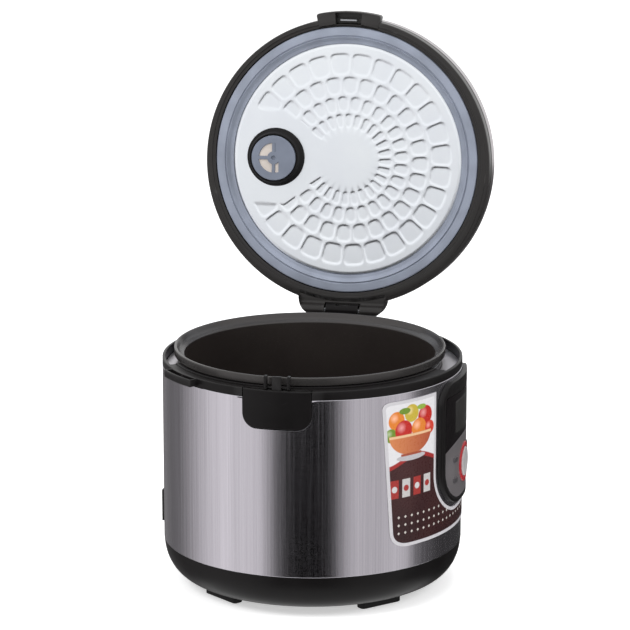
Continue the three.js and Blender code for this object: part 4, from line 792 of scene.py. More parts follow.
def deckPlate(v, first, last):
    turn = math.degrees(v["gap"] / v["gapRadius"])
    sections = []
    for angle in np.linspace(first + turn, last - turn, v["sections"]):
        inner = potCircle(math.radians(angle), v["inner"])
        section = softProfile([
            [inner, v["low"]], [v["outer"], v["low"]], [v["outer"], v["high"]], [inner, v["high"]],
        ], [0, 0, 0.3, 0.3], 3)
        sections.append(columnPoints((angle, None, 0), section[:, 0], section[:, 1]))
    return swept(np.array(sections))


panelDeck, steamDeck = [deckPlate(deckShape, *ends) for ends in ring["decks"]]
makePiece(
    "deckPanelSide", [panelDeck], fromBody, "housing", "silverDeck", ["deck_panel_side"])
makePiece(
    "deckSteamSide", [steamDeck], fromBody, "housing", "silverDeck", ["deck_steam_side"])
print("multicooker: base, steel and top ring made")

# Release lever: a plate with rounded foot corners, a web on the pin and a hook above
lever = {
    "half": 31.5, "low": 171.9, "high": 207.5, "corner": 13.0, "topCorner": 0.8, "wall": 3.2,
    "webHalf": 4.2, "webOut": 136.2, "bossHalf": 2.2, "stemIn": 135.2, "stemOut": 136.8,
    "stemSunk": 2.0, "top": 220.0, "noseIn": 133.8, "noseLow": 217.7, "pivotX": -131.0, "pivotZ": 201.8,
}


def leverShells(v):
    left, right = -v["half"] - potShift, v["half"] - potShift
    outline = softRectangle(left, right, v["low"], v["high"], v["corner"], v["topCorner"], 10)
    layers = softLayers(bodyRadius - v["wall"], bodyRadius, 0.3, 1.1)
    front = onDrum(plate(finer(3.0, outline)[0], layers), -90)
    y0, y1 = potShift - v["webHalf"], potShift + v["webHalf"]
    boss = v["bossHalf"]
    web = softBlock(
        [-v["webOut"], y0, v["pivotZ"] - boss], [v["pivotX"] + boss, y1, v["pivotZ"] + boss], 0.4)
    stem = softBlock([-v["stemOut"], y0, lipTop - v["stemSunk"]], [-v["stemIn"], y1, v["top"]], 0.35)
    nose = softBlock(
        [-v["stemOut"] + 0.2, y0 + 0.02, v["noseLow"]], [-v["noseIn"], y1 - 0.02, v["top"] - 0.02], 0.45)
    return [front, web, stem, nose]


makePiece(
    "releaseLever", leverShells(lever), fromBody, "release_lever", "bodyBlack",
    ["release_lever"])

# Latch strike: two posts on a low foot beside the hook
strike = {
    "half": 11.8, "low": 208.0, "footOut": 133.1, "footIn": 129.35, "footTop": 209.4,
    "postHalf": 1.25, "postOut": 136.4, "postIn": 130.6, "postTop": 220.1,
}


def strikeShells(v):
    y0, y1 = potShift - v["half"], potShift + v["half"]
    shells = [softBlock([-v["footOut"], y0, v["low"]], [-v["footIn"], y1, v["footTop"]], 0.4)]
    for side in (-1, 1):
        middle, half = potShift + side * (v["half"] - v["postHalf"]), v["postHalf"]
        shells.append(softBlock(
            [-v["postOut"], middle - half, v["low"]], [-v["postIn"], middle + half, v["postTop"]], 0.6))
    return shells


makePiece(
    "latchStrike", strikeShells(strike), fromBody, "housing", "bodyBlack",
    ["latch_strike"])

# Inner pot: deep drawn, with a stepped rim that rolls over
potShape = {
    "inner": 115.5, "wall": 1.5, "bottom": 69.9, "floor": 1.8, "corner": 22.0, "rimLow": 209.1,
    "top": 216.7, "rim": 125.0, "ledge": 119.0, "steps": 256,
}


def potSection(v):
    outer, floorTop, corner = v["inner"] + v["wall"], v["bottom"] + v["floor"], v["corner"]
    points = [
        [0, v["bottom"]], [outer, v["bottom"]], [outer, v["rimLow"]], [v["rim"], v["rimLow"]],
        [v["rim"], v["top"]], [v["rim"] - 2.2, v["top"]], [v["ledge"] + 1.4, v["top"] - 4.2],
        [v["ledge"], v["top"] - 5.4], [v["inner"], v["top"] - 7.2], [v["inner"], floorTop], [0, floorTop],
    ]
    return softProfile(points, [0, corner * 1.25, 0.5, 0.9, 1.5, 0.8, 0.9, 0.8, 1.0, corner * 1.2, 0], 8)


makePiece(
    "innerPot", [turned(potSection(potShape), potShape["steps"])], fromPot, "pot",
    "nonStick", ["inner_pot"])

# Inner liner: a deep cup with a narrow flange; its floor is open in the middle
linerSection = softProfile([
    [87.0, 63.9], [118.9, 63.9], [118.9, 204.7], [121.9, 204.7], [121.9, 205.4], [117.9, 205.4],
    [117.9, 64.9], [87.0, 64.9],
], [0, 24, 0, 0.2, 0.2, 0.5, 23, 0], 8)
makePiece(
    "innerLiner", [turned(linerSection, 224)], fromPot, "housing", "castAluminium",
    ["inner_liner"])
print("multicooker: lever, strike and pot made")

# Lid ring, drawn shut: front with an outer bevel, a flat and a lower inner band; a thin groove runs round it.
# Over the latch ear's span its front is raised to the lift
frameShape = {
    "inner": 128.4, "radius": 138.4, "shift": (2.4, -0.9), "front": 215.5, "bevel": 0.9, "rim": 3.3,
    "rimSunk": 0.5, "bandFrom": 131.4, "bandLevel": 216.3, "groove": 228.6, "grooveWide": 1.4,
    "grooveDeep": 0.7, "top": 233.2, "wallIn": 133.0, "deck": 225.0, "deckWall": 2.2,
    "earHalf": 31.0, "earLift": 222.5, "step": 1.5,
}


# Distance from the seal's axis to the ring's outer circle, whose centre lies off that axis
def frameOuter(v, angle):
    away, turn = math.hypot(*v["shift"]), math.atan2(v["shift"][1], v["shift"][0])
    return away * math.cos(angle - turn) + math.sqrt(v["radius"] ** 2 - (away * math.sin(angle - turn)) ** 2)


def frameSection(v, outer, lifted):
    low, deckTop = v["front"] + v["rimSunk"], v["deck"] + v["deckWall"]
    grooveIn, grooveTop = outer - v["grooveDeep"], v["groove"] + v["grooveWide"]
    section = softProfile([
        [v["inner"], v["bandLevel"]], [v["bandFrom"], v["bandLevel"]], [v["bandFrom"] + 0.25, v["front"]],
        [outer - v["rim"] - 0.3, v["front"]], [outer - v["rim"], low],
        [outer - v["bevel"], low], [outer, low + v["bevel"]], [outer, v["groove"]],
        [grooveIn, v["groove"]], [grooveIn, grooveTop], [outer, grooveTop], [outer, v["top"]],
        [v["wallIn"], v["top"]], [v["wallIn"], deckTop], [0, deckTop], [0, v["deck"]],
        [v["inner"], v["deck"]],
    ], [0.5, 0.1, 0.3, 0.2, 0.1, 0.5, 0.5, 0.2, 0, 0, 0.2, 0.3, 0.3, 0, 0, 0, 0], 3)
    if lifted:
        underEar = (section[:, 0] > v["inner"] + 0.9) & (section[:, 1] < v["earLift"])
        section[underEar, 1] = v["earLift"]
    return section


def lidFrameRing(v):
    half = math.degrees(v["earHalf"] / bodyRadius)
    earEnds = [side * (180 - half) + hair for side in (-1, 1) for hair in (-0.004, 0.004)]
    angles = np.sort(np.concatenate([np.arange(-180, 180, v["step"]) + v["step"] / 2, earEnds]))
    grid = []
    for angle in angles:
        section = frameSection(v, frameOuter(v, math.radians(angle)), abs(angle) > 180 - half)
        grid.append(columnPoints((angle, None, 0), section[:, 0], section[:, 1]))
    return swept(np.array(grid), True)


# Latch ear: a plate bent round the ring with a pocket in its front for the hook and the strike
latchEarShape = {
    "inner": 129.3, "innerFlat": 132.0, "outer": 142.5, "half": 31.0, "corner": 2.4, "front": 215.5,
    "top": 228.0, "pocketIn": 129.9, "pocketOut": 141.0, "pocketHalf": 12.9, "pocketCorner": 0.9,
    "pocketTop": 224.5,
}


def latchEar(v):
    outer = softRectangle(v["inner"], v["outer"], -v["half"], v["half"], v["corner"], cuts=4)
    pocketHalf = v["pocketHalf"]
    pocket = softRectangle(
        v["pocketIn"], v["pocketOut"], -pocketHalf, pocketHalf, v["pocketCorner"], cuts=4)
    outer[:, 0] = np.where(outer[:, 0] < v["innerFlat"], v["inner"], outer[:, 0])
    outer, pocket = finer(2.5, outer, pocket)
    front, top = v["front"], v["top"]
    return bent(stack([
        (inset(outer, 1.0), top), (inset(outer, 0.3), top - 0.3), (outer, top - 1.0), (outer, front + 0.9),
        (inset(outer, 0.25), front + 0.25), (inset(outer, 0.9), front), (inset(pocket, -0.4), front),
        (inset(pocket, -0.1), front + 0.1), (pocket, front + 0.4), (pocket, v["pocketTop"]),
    ]), 180)


# Hinge ear: side sections carried along Y; in the middle they leave a slot for the knuckle under a thin roof
hingeEarShape = {
    "root": 42.5, "neck": 31.0, "slot": 17.5, "slotX": 138.2, "slotTop": 226.2, "front": 215.5,
    "top": 228.0, "start": 100.0, "innerRadius": 133.4,
    "reachRoot": 132.0, "reachLean": 145.0, "nose": 150.5,
}


def hingeEar(v):
    side = softProfile([
        [v["start"], v["front"]], [138.6, v["front"]], [141.5, 209.4], [147.5, 208.6], [150.9, 213.2],
        [150.6, 221.5], [148.0, v["top"]], [v["start"], v["top"]],
    ], [0, 2.0, 3.4, 3.6, 3.6, 3.0, 2.0, 0], 6)
    t = np.linspace(0, 1, 12)
    half = quadratic(t, v["root"], v["root"], v["neck"])
    reach = quadratic(t, v["reachRoot"], v["reachLean"], v["nose"])
    even = np.linspace(-v["neck"] + 0.3, v["neck"] - 0.3, 27)
    ys = np.unique(np.round(np.concatenate([-half, half, even]), 4))
    ys = ys[np.abs(np.abs(ys) - v["slot"]) > 0.3]
    slotSides = [way * (v["slot"] + hair) for way in (-1, 1) for hair in (-0.01, 0.01)]
    grid = []
    for y in np.sort(np.concatenate([ys, slotSides])):
        x, z = side[:, 0].copy(), side[:, 1].copy()
        if abs(y) < v["slot"]:
            inside = np.where((x > v["slotX"]) & (z < v["slotTop"]))[0]
            back, roof = inside[:len(inside) // 3], inside[len(inside) // 3:]
            end = x[inside[-1]]
            x[back], z[back] = v["slotX"], np.linspace(v["front"], v["slotTop"], len(back))
            x[roof], z[roof] = np.linspace(v["slotX"] + 0.5, end, len(roof)), v["slotTop"]
        inner = math.sqrt(v["innerRadius"] ** 2 - y ** 2)
        x = np.clip(x, inner, np.interp(abs(y), half[::-1], reach[::-1]))
        grid.append(np.column_stack([x, np.full(len(x), y), z]))
    return swept(np.array(grid))


lidShells = [lidFrameRing(frameShape), latchEar(latchEarShape), hingeEar(hingeEarShape)]
makePiece("lidFrame", lidShells, fromLid, "lid", "lidBlack", ["lid_frame"])

# Latch catch: a plate across the pocket with a window for the hook
catch = {
    "half": 8.0, "low": 215.85, "high": 224.2, "corner": 0.6, "back": 133.5, "shoulder": 134.6,
    "face": 134.8, "edge": 0.2,
    "holeHalf": 5.0, "holeLow": 217.0, "holeHigh": 220.6, "holeCorner": 0.5,
}


# Outlines drawn as (Y, height), each carried to its own X
def catchPlate(v):
    outer = softRectangle(-v["half"], v["half"], v["low"], v["high"], v["corner"], cuts=3)
    hole = softRectangle(
        -v["holeHalf"], v["holeHalf"], v["holeLow"], v["holeHigh"], v["holeCorner"], cuts=3)
    layers = [
        (outer, v["back"]), (outer, v["shoulder"]), (inset(outer, v["edge"]), v["face"]),
        (inset(hole, -v["edge"]), v["face"]), (hole, v["shoulder"]), (hole, v["back"]),
    ]
    return swept(np.stack([np.column_stack([np.full(len(o), -x), o]) for o, x in layers]), True)


makePiece("latchCatch", [catchPlate(catch)], fromLid, "lid", "zinc", ["latch_catch"])

# Steel cover of the lid
coverSection = softProfile([
    [135.4, 233.5], [138.4, 233.5], [138.9, 245.0], [137.2, 249.5], [128.7, 252.6], [96.9, 255.0],
    [0, 255.6], [0, 254.2], [96.9, 253.6], [128.0, 251.2], [135.4, 245.0],
], [0.2, 0.6, 2.0, 4.0, 6.0, 8.0, 0, 0, 8.0, 4.0, 3.0], 6)
coverShell = moved(turned(coverSection, 256), [*frameShape["shift"], 0])
makePiece("lidCover", [coverShell], fromLid, "lid", "coverSteel", ["lid_cover"])

# Silicone seal: an outer bead, a groove, a broad band and a thin lip over the plate
sealSection = softProfile([
    [111.6, 221.5], [114.9, 221.0], [116.6, 218.8], [118.0, 217.0], [118.4, 218.3], [119.2, 218.3],
    [119.7, 217.0], [126.9, 217.0], [127.8, 217.9], [127.8, 224.7], [112.6, 224.7], [112.6, 223.7],
    [114.6, 223.7], [114.6, 221.9], [111.6, 221.9],
], [0.2, 1.0, 1.0, 0.4, 0.2, 0.2, 0.4, 0.7, 0.6, 0, 0, 0, 0, 0, 0.2], 4)
makePiece("sealRing", [turned(sealSection, 256)], fromLid, "lid", "silicone", ["seal_ring"])
print("multicooker: lid frame, cover and seal made")

# Inner plate: cells pressed in four rings, staggered like bricks, none towards the valve
embossed = {
    "radius": 114.2, "level": 222.2, "wall": 1.2, "opening": 25.8, "cells": 28,
    "rings": [(82.3, 101.6), (63.4, 79.1), (46.7, 60.4), (31.3, 43.8)],
    "firstBorder": 1.4, "ridge": 2.7, "corner": 4.6, "deep": 0.5, "edge": 0.9,
    "clearHalf": 46.0, "clearAngles": [38.5, 37.0, 38.5, 35.0],
    "plainRadii": [0, 12, 24, 53.5, 71.2, 89.5, 92.0, 94.4, 104, 108],
}


# Depth at a radius and angle: deep times a smooth step of the distance to the cell's rounded edge; near the
# valve the cells end at the farther of a straight line beside it and a ray from the middle
def cellDepth(r, angle, v):
    pitch = 360 / v["cells"]
    depth = np.zeros_like(r)
    away = np.abs(angle % 360 - 180)
    aside = v["clearHalf"] - r * np.sin(np.radians(away))
    for k, (low, high) in enumerate(v["rings"]):
        start = v["firstBorder"] + (0 if k % 2 == 0 else pitch / 2)
        centre = start + (np.floor((angle - start) / pitch) + 0.5) * pitch
        half = r * math.radians(pitch / 2) - v["ridge"] / 2
        across, corner = r * np.radians(angle - centre), np.minimum(v["corner"], half * 0.85)
        d = boxDistance(r - (low + high) / 2, across, (high - low) / 2, half, corner)
        clear = np.minimum(aside, r * np.radians(v["clearAngles"][k] - away))
        depth = np.maximum(depth, v["deep"] * smooth(np.maximum(d, clear), v["edge"]))
    return depth


# The plate's grid: rows and columns stand close together across the cells' edges
def embossedPlate(v):
    pitch = 360 / v["cells"] / 2
    beside = np.array([0.3, 0.57, 0.84, 1.12, 1.45, 2.1])
    steps = np.concatenate([beside, [pitch / 2], pitch - beside[::-1]])
    angles = v["firstBorder"] + (np.arange(2 * v["cells"])[:, None] * pitch + steps).ravel()
    inwards = np.array([-0.9, -0.3, 0.3, 0.9, 1.8, 3.2, 4.8])
    edges = np.concatenate([np.concatenate([low + inwards, high - inwards]) for low, high in v["rings"]])
    radii = np.unique(np.round(np.concatenate([v["plainRadii"], edges, [v["radius"]]]), 2))
    r, angle = np.meshgrid(radii, angles, indexing="ij")
    z = v["level"] + cellDepth(r, angle, v)
    a = np.radians(angle)
    points = np.stack([r * np.sin(a), -r * np.cos(a), z], -1).reshape(-1, 3)
    faces = gridFaces(len(radii), len(angles), True)
    middle = points[faces].mean(1)
    return points, faces[np.hypot(middle[:, 0], middle[:, 1] - place["valveShift"]) > v["opening"]]


platePiece = makePiece(
    "innerPlate", [embossedPlate(embossed)], fromLid, "lid", "plateAluminium",
    ["inner_plate"], crease=60, turnFaces=False)
thicken(platePiece, embossed["wall"])

# Valve boot and cap, drawn about the valve's own axis
bootSection = softProfile([
    [21.9, 212.6], [23.2, 211.3], [24.0, 212.4], [24.9, 217.4], [27.6, 219.6], [28.2, 221.0],
    [28.2, 221.9], [24.7, 221.9], [24.7, 224.7], [21.9, 224.7],
], [0.5, 1.0, 0.8, 2.0, 1.2, 0.4, 0, 0, 0, 0], 4)
makePiece(
    "valveBoot", [turned(bootSection, 160)], fromValve, "lid", "softBlack", ["valve_boot"])

cap = {
    "radius": 21.6, "rimIn": 20.0, "discOut": 20.4, "face": 210.7, "back": 224.7, "wall": 1.8,
    "windowIn": 6.2, "windowOut": 14.4, "hingeReach": 5.0, "latchReach": 1.6, "spoke": 3.2, "deep": 1.5,
    "hole": 2.0, "edge": 0.25, "insertIn": 5.2, "insertOut": 14.8, "insertLow": 1.2, "insertHigh": 1.6,
}


# The cap's windows: a ring band down to a limit on either side, cut by a cross of spokes; and a middle hole
def capDepth(x, y):
    r = np.hypot(x, y)
    inSpoke = np.minimum(np.abs(x), np.abs(y)) - cap["spoke"] / 2
    below = -y - np.where(x > 0, cap["hingeReach"], cap["latchReach"])
    band = np.maximum(np.maximum(cap["windowIn"] - r, r - cap["windowOut"]), below)
    windows, hole = smooth(np.maximum(band, -inSpoke), cap["edge"]), smooth(r - cap["hole"], cap["edge"])
    return cap["deep"] * np.maximum(windows, hole)


rimFloor = cap["face"] + cap["wall"]
capRim = softProfile([
    [cap["discOut"], cap["face"]], [cap["radius"], cap["face"]], [cap["radius"], cap["back"]],
    [cap["rimIn"], cap["back"]], [cap["rimIn"], rimFloor], [cap["discOut"], rimFloor],
], [0, 0.7, 0, 0, 0, 0], 4)
capRadii = np.unique(np.concatenate([np.arange(0, 15.6, 0.3), [17, 19, 20.5]]))
capShells = [carvedDisc(capRadii, 360, cap["face"], cap["wall"], capDepth), turned(capRim, 160)]
makePiece("valveCap", capShells, fromValve, "lid", "smoked", ["valve_cap"])
insertLow, insertHigh = cap["face"] + cap["insertLow"], cap["face"] + cap["insertHigh"]
insertSection = [
    [cap["insertIn"], insertLow], [cap["insertOut"], insertLow],
    [cap["insertOut"], insertHigh], [cap["insertIn"], insertHigh],
]
makePiece("capInsert", [turned(insertSection, 96)], fromValve, "lid", "capInsert")

# Steam vent on the cover: a low cap with three slots, on its stem
vent = {
    "radius": 21.0, "low": 255.9, "top": 261.4, "round": 2.4, "stem": 11.6, "stemIn": 10.0,
    "stemLow": 243.9, "discOut": 12.0, "roof": 1.0, "discWall": -5.0,
    "slotLong": 14.0, "slotWide": 3.0, "slotCorner": 1.45, "slotEdge": 0.22, "pitch": 6.0, "deep": 4.2,
}


def ventDepth(x, y):
    row = np.clip(np.round(y / vent["pitch"]), -1, 1)
    halfLong, halfWide = vent["slotLong"] / 2, vent["slotWide"] / 2
    d = boxDistance(x, y - row * vent["pitch"], halfLong, halfWide, vent["slotCorner"])
    return -vent["deep"] * smooth(d, vent["slotEdge"])


ventFloor = vent["low"] + vent["roof"]
ventRim = softProfile([
    [vent["discOut"], vent["top"]], [vent["radius"], vent["top"]], [vent["radius"], vent["low"]],
    [vent["stem"], vent["low"]], [vent["stem"], vent["stemLow"]], [vent["stemIn"], vent["stemLow"]],
    [vent["stemIn"], ventFloor], [vent["discOut"], ventFloor],
], [0, vent["round"], 0.5, 0.4, 0.4, 0, 0, 0], 6)
ventRadii = np.unique(np.concatenate([np.arange(0, 11.2, 0.25), [11.6, 12.1]]))
ventDisc = carvedDisc(ventRadii, 240, vent["top"], vent["discWall"], ventDepth)
makePiece(
    "steamVent", [ventDisc, turned(ventRim, 160)], fromValve, "steam_vent", "lidBlack",
    ["steam_vent"])
print("multicooker: plate, valve and vent made")

# Hinge bracket: side sections along Y, with the spring's pocket sunk in the middle
bracket = {
    "half": 15.75, "pocket": 6.5, "pocketLevel": 209.0, "pocketFrom": 141.1, "pocketTop": 219.6,
    "endShrink": 0.04,
}


def hingeBracket(v):
    side = softProfile([
        [131.2, 197.7], [135.6, 190.7], [141.3, 190.7], [150.4, 211.0], [151.2, 217.4], [147.2, 220.7],
        [142.4, 220.5], [139.3, 217.0], [139.5, 207.4], [131.2, 207.4],
    ], [0.8, 1.5, 1.5, 3, 3, 3, 3, 3, 0.8, 0.6], 6)
    right = np.concatenate([
        np.linspace(0, 6, 4), [v["pocket"] - 0.01, v["pocket"] + 0.01],
        np.linspace(7, v["half"] - 0.8, 5), [v["half"] - 0.3, v["half"]],
    ])
    grid = []
    for y in np.concatenate([-right[:0:-1], right]):
        x, z = side[:, 0].copy(), side[:, 1].copy()
        if abs(y) < v["pocket"]:
            inside = np.where((z > v["pocketLevel"]) & (x > v["pocketFrom"]))[0]
            floor, wall = inside[:2 * len(inside) // 3], inside[2 * len(inside) // 3:]
            start = x[inside[0]]
            x[floor], z[floor] = np.linspace(start, v["pocketFrom"] + 0.3, len(floor)), v["pocketLevel"]
            x[wall], z[wall] = v["pocketFrom"], np.linspace(v["pocketLevel"], v["pocketTop"], len(wall))
        if abs(y) > v["half"] - 0.1:
            x, z = [c + v["endShrink"] * (c.mean() - c) for c in (x, z)]
        grid.append(np.column_stack([x, np.full(len(x), y), z]))
    return swept(np.array(grid))


makePiece(
    "hingeBracket", [hingeBracket(bracket)], fromPot, "housing", "bodyBlack",
    ["hinge_bracket"])

# Panel: housing, two films that meet at an arch, display, start button in its ring and four small buttons
panel = {
    "half": 53.5, "low": 80.0, "high": 197.4, "corner": 36.0, "topCorner": 20.0, "inner": 138.7,
    "outer": 142.7, "faceHalf": 48.5, "faceLow": 85.0, "faceHigh": 184.2, "faceCorner": 31.0,
    "faceTopCorner": 4.0, "sunk": 1.2, "middle": (0, 135),
    "filmHalf": 48.1, "filmLow": 85.4, "filmHigh": 183.8, "filmLevel": 142.6, "filmWall": 0.8,
    "archEdge": 132.5, "archCrown": 142.0, "archHalf": 49.5, "archGap": 0.2,
    "displayHalf": 29.0, "displayLow": 147.0, "displayHigh": 177.0, "displayCorner": 1.6,
    "knob": 113.6, "ringOut": 18.5, "ringIn": 14.2, "knobRadius": 13.6, "knobSteps": 96,
    "buttonAcross": 29.0, "buttonHeights": (122.5, 103.0), "buttonLong": 9.6, "buttonWide": 5.4,
    "buttonBack": 137.1, "buttonFront": 143.6,
}


# Panel housing: outer edge to the face's sunken floor, laid on the drum
def panelHousing(v):
    outer = softRectangle(-v["half"], v["half"], v["low"], v["high"], v["corner"], v["topCorner"], 12)
    face = softRectangle(
        -v["faceHalf"], v["faceHalf"], v["faceLow"], v["faceHigh"], v["faceCorner"], v["faceTopCorner"], 12)
    outer, face = finer(3.0, outer, face)
    top = v["outer"]
    return onDrum(stack([
        (outer, v["inner"]), (outer, top - 1.3), (inset(outer, 0.12), top - 0.8),
        (inset(outer, 0.42), top - 0.38), (inset(outer, 0.8), top - 0.1), (inset(outer, 1.3), top),
        (inset(face, -0.35), top), (inset(face, -0.1), top - 0.1), (face, top - 0.35),
        (face, top - v["sunk"]),
    ], v["middle"]))


makePiece(
    "panelHousing", [panelHousing(panel)], fromBody, "housing", "bodyBlack",
    ["panel_housing"])


# Lower edge of a rounded outline at each position across: a straight foot and two quarter circles
def lowerEdge(across, half, low, corner):
    past = np.clip(np.abs(across) - (half - corner), 0, corner)
    return low + corner - np.sqrt(corner ** 2 - past ** 2)


# The two films: the arch between them falls with the square of the position across
def panelFilms(v):
    half = v["filmHalf"]
    sides = [s * (half - t) for s in (-1, 1) for t in (0.05, 0.2, 0.5, 1.0, 1.8, 2.8)]
    x = np.unique(np.round(np.concatenate([np.linspace(-half, half, 65), sides]), 4))
    arch = v["archCrown"] - (v["archCrown"] - v["archEdge"]) * (x / v["archHalf"]) ** 2
    foot = lowerEdge(x, half, v["filmLow"], v["faceCorner"])
    head = 2 * v["filmHigh"] - lowerEdge(x, half, v["filmHigh"], v["faceTopCorner"])
    level, wall, gap = v["filmLevel"], v["filmWall"], v["archGap"]
    return film(x, foot, arch - gap, level, wall), film(x, arch + gap, head, level, wall)


faceFilm, windowFilm = panelFilms(panel)
makePiece("panelFace", [faceFilm], fromBody, "housing", "panelSilver", ["panel_face"])
makePiece("displayWindow", [windowFilm], fromBody, "housing", "window", ["display_window"])
glassOutline = softRectangle(
    -panel["displayHalf"], panel["displayHalf"], panel["displayLow"], panel["displayHigh"],
    panel["displayCorner"], cuts=4)
glassPlate = plate(finer(3.0, glassOutline)[0], [(0, 142.3), (0, 142.62), (0.12, 142.7)])
makePiece("displayGlass", [onDrum(glassPlate)], fromBody, "housing", "displayGlass")


# Turns a shell drawn as (across, up, out) to face the panel side, flat
def facing(shell):
    p = shell[0]
    return np.column_stack([p[:, 0], -p[:, 2], p[:, 1]]), shell[1]


# Start button: a flat face with a rounded edge; the ring round it follows the drum
knobOutline, ringOut, ringIn = [
    circleOutline(0, panel["knob"], panel[k], panel["knobSteps"])
    for k in ("knobRadius", "ringOut", "ringIn")]
knobLayers = [
    (0, 137.1), (0, 143.2), (0.15, 143.75), (0.5, 144.15), (1.1, 144.3), (3.0, 144.22), (6.0, 144.05)]
makePiece(
    "startButton", [facing(plate(knobOutline, knobLayers))], fromBody, "start_button",
    "startButton", ["start_button"])
ringLayers = [
    (ringOut, 141.8), (ringOut, 143.2), (inset(ringOut, 0.2), 143.6), (inset(ringOut, 0.7), 143.8),
    (inset(ringIn, -0.6), 143.8), (inset(ringIn, -0.15), 143.6), (ringIn, 143.2), (ringIn, 141.8),
]
ringRound = swept(np.stack([atLevel(outline, level) for outline, level in ringLayers]), True)
makePiece("startRing", [onDrum(ringRound)], fromBody, "housing", "red", ["start_ring"])

# Small buttons, row by row from the upper left
halfLong, halfWide = panel["buttonLong"] / 2, panel["buttonWide"] / 2
buttonLayers = softLayers(panel["buttonBack"], panel["buttonFront"], 0.2, 0.7)
buttonPlaces = [(s * panel["buttonAcross"], h) for h in panel["buttonHeights"] for s in (-1, 1)]
for k, (x, y) in enumerate(buttonPlaces, 1):
    outline = softRectangle(x - halfLong, x + halfLong, y - halfWide, y + halfWide, halfWide - 0.02)
    button = onDrum(plate(finer(1.6, outline)[0], buttonLayers))
    makePiece(
        f"panelButton{k}", [button], fromBody, f"button_{k}", "panelButton",
        [f"panel_button_{k}"], crease=50)
print("multicooker: bracket and panel made")

# Label film: a rounded sheet whose outer side leans in towards the bottom, cut round the housing
label = {
    "left": -108.2, "lean": 6.3, "right": 62.0, "low": 56.5, "high": 193.0, "corner": 15.0,
    "highCorner": 7.0, "cutHalf": 57.5, "cutLow": 76.0, "cutCorner": 40.0, "tail": 80.0,
    "radius": 139.1, "wall": 0.4, "rows": 60,
}


# Positions across with the film's lower and upper edge there; corners are quadratic curves
def labelEdges(v):
    left, foot, slope = v["left"], v["left"] + v["lean"], v["lean"] / (v["high"] - v["low"])
    t = np.linspace(0, 1, 24)[:, None]
    side = np.array([left + slope * v["highCorner"], v["high"] - v["highCorner"]])
    top = quadratic(t, side, np.array([left, v["high"]]), np.array([left + v["highCorner"], v["high"]]))
    start = np.array([foot - slope * v["corner"], v["low"] + v["corner"]])
    bottom = quadratic(t, start, np.array([foot, v["low"]]), np.array([foot + v["corner"], v["low"]]))
    steps = np.array([0.005, 0.3, 0.9, 1.8, 3.0, 4.4, 6.0])
    x = np.unique(np.round(np.concatenate([
        side[0] + np.linspace(0.001, 6.6, 26), bottom[:, 0], np.linspace(foot + v["corner"], v["right"], 90),
        v["cutHalf"] - steps, v["cutHalf"] + steps, -v["cutHalf"] - steps, -v["cutHalf"] + steps,
    ]), 4))
    low = np.interp(x, np.append(side[0], bottom[:, 0]), np.append(side[1], bottom[:, 1]))
    high = np.interp(x, np.maximum.accumulate(top[:, 0] + np.arange(len(t)) * 1e-6), top[:, 1])
    cut = lowerEdge(x, v["cutHalf"], v["cutLow"], v["cutCorner"])
    high = np.where(np.abs(x) < v["cutHalf"], cut, high)
    return x, low, np.where(x > v["cutHalf"], v["tail"], high)


# Distance of points to the nearest side of a closed outline
def edgeDistance(points, outline):
    sides = np.roll(outline, -1, 0) - outline
    squares = np.maximum((sides ** 2).sum(1), 1e-9)
    least = np.full(len(points), np.inf)
    for start, along, squared in zip(outline, sides, squares):
        t = np.clip(((points - start) @ along) / squared, 0, 1)[:, None]
        least = np.minimum(least, np.linalg.norm(points - start - t * along, axis=1))
    return least


# The film's two maps: its own flat millimetres, and the distance to its edge
def mapLabel(piece, v, across, low, high):
    axis = [place["axisX"], place["axisY"], place["lift"]]
    corners = np.array([c.co for c in piece.data.vertices]) / mm - axis
    flat = np.stack([v["radius"] * np.arctan2(corners[:, 0], -corners[:, 1]), corners[:, 2]], -1)
    arc = v["radius"] * np.arcsin(across / v["radius"])
    outline = np.concatenate([np.column_stack([arc, low]), np.column_stack([arc, high])[::-1]])
    rim = edgeDistance(flat, outline)
    loops = np.array([loop.vertex_index for loop in piece.data.loops])
    for name, values in (("film", flat), ("rim", np.column_stack([rim, 0 * rim]))):
        uv = values[loops].astype(np.float32).ravel() / picture["mapScale"]
        piece.data.uv_layers.new(name=name).data.foreach_set("uv", uv)


labelSides = labelEdges(label)
labelShell = film(*labelSides, label["radius"], label["wall"], label["rows"])
labelPiece = makePiece("labelFilm", [labelShell], fromBody, "housing", "label", ["label_film"])
mapLabel(labelPiece, label, *labelSides)
print("multicooker: label made")

# CAD nodes that stay take better materials by slot
kept = {
    "zinc": ["lever_pin", "hinge_pin", "hinge_spring", "display_module", "sensor_spring", "side_heater"],
    "castAluminium": ["heater_plate", "sensor_cap"],
    "zincScrew": ["heater_post_", "post_screw_", "lid_screw_"],
    "board": ["power_board", "control_board"],
    "softBlack": ["power_inlet", "sensor_guide", "steam_duct"],
}
for finishName, starts in kept.items():
    for name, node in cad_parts.items():
        if name.startswith(tuple(starts)):
            for materialSlot in node.material_slots:
                materialSlot.link = "OBJECT"
                materialSlot.material = finish[finishName]

# The photograph's view: azimuth 0 looks along +Y and 90 along -X
view = {
    "target": (-0.03362, -0.00035, 0.2501), "distance": 3.0, "azimuth": -77.6, "elevation": 13.59,
    "lens": 186.3,
}

# Studio: pale floor, white surroundings for the camera and reflections, and cards only glossy rays see
studio = {
    "floorRadius": 9.0, "floorSteps": 96, "floorLift": 0.5,
    "cardRadius": 2.2, "cardTop": -0.02, "cardLow": -1.9, "cardSteps": 128, "worldSoft": 0.62,
}
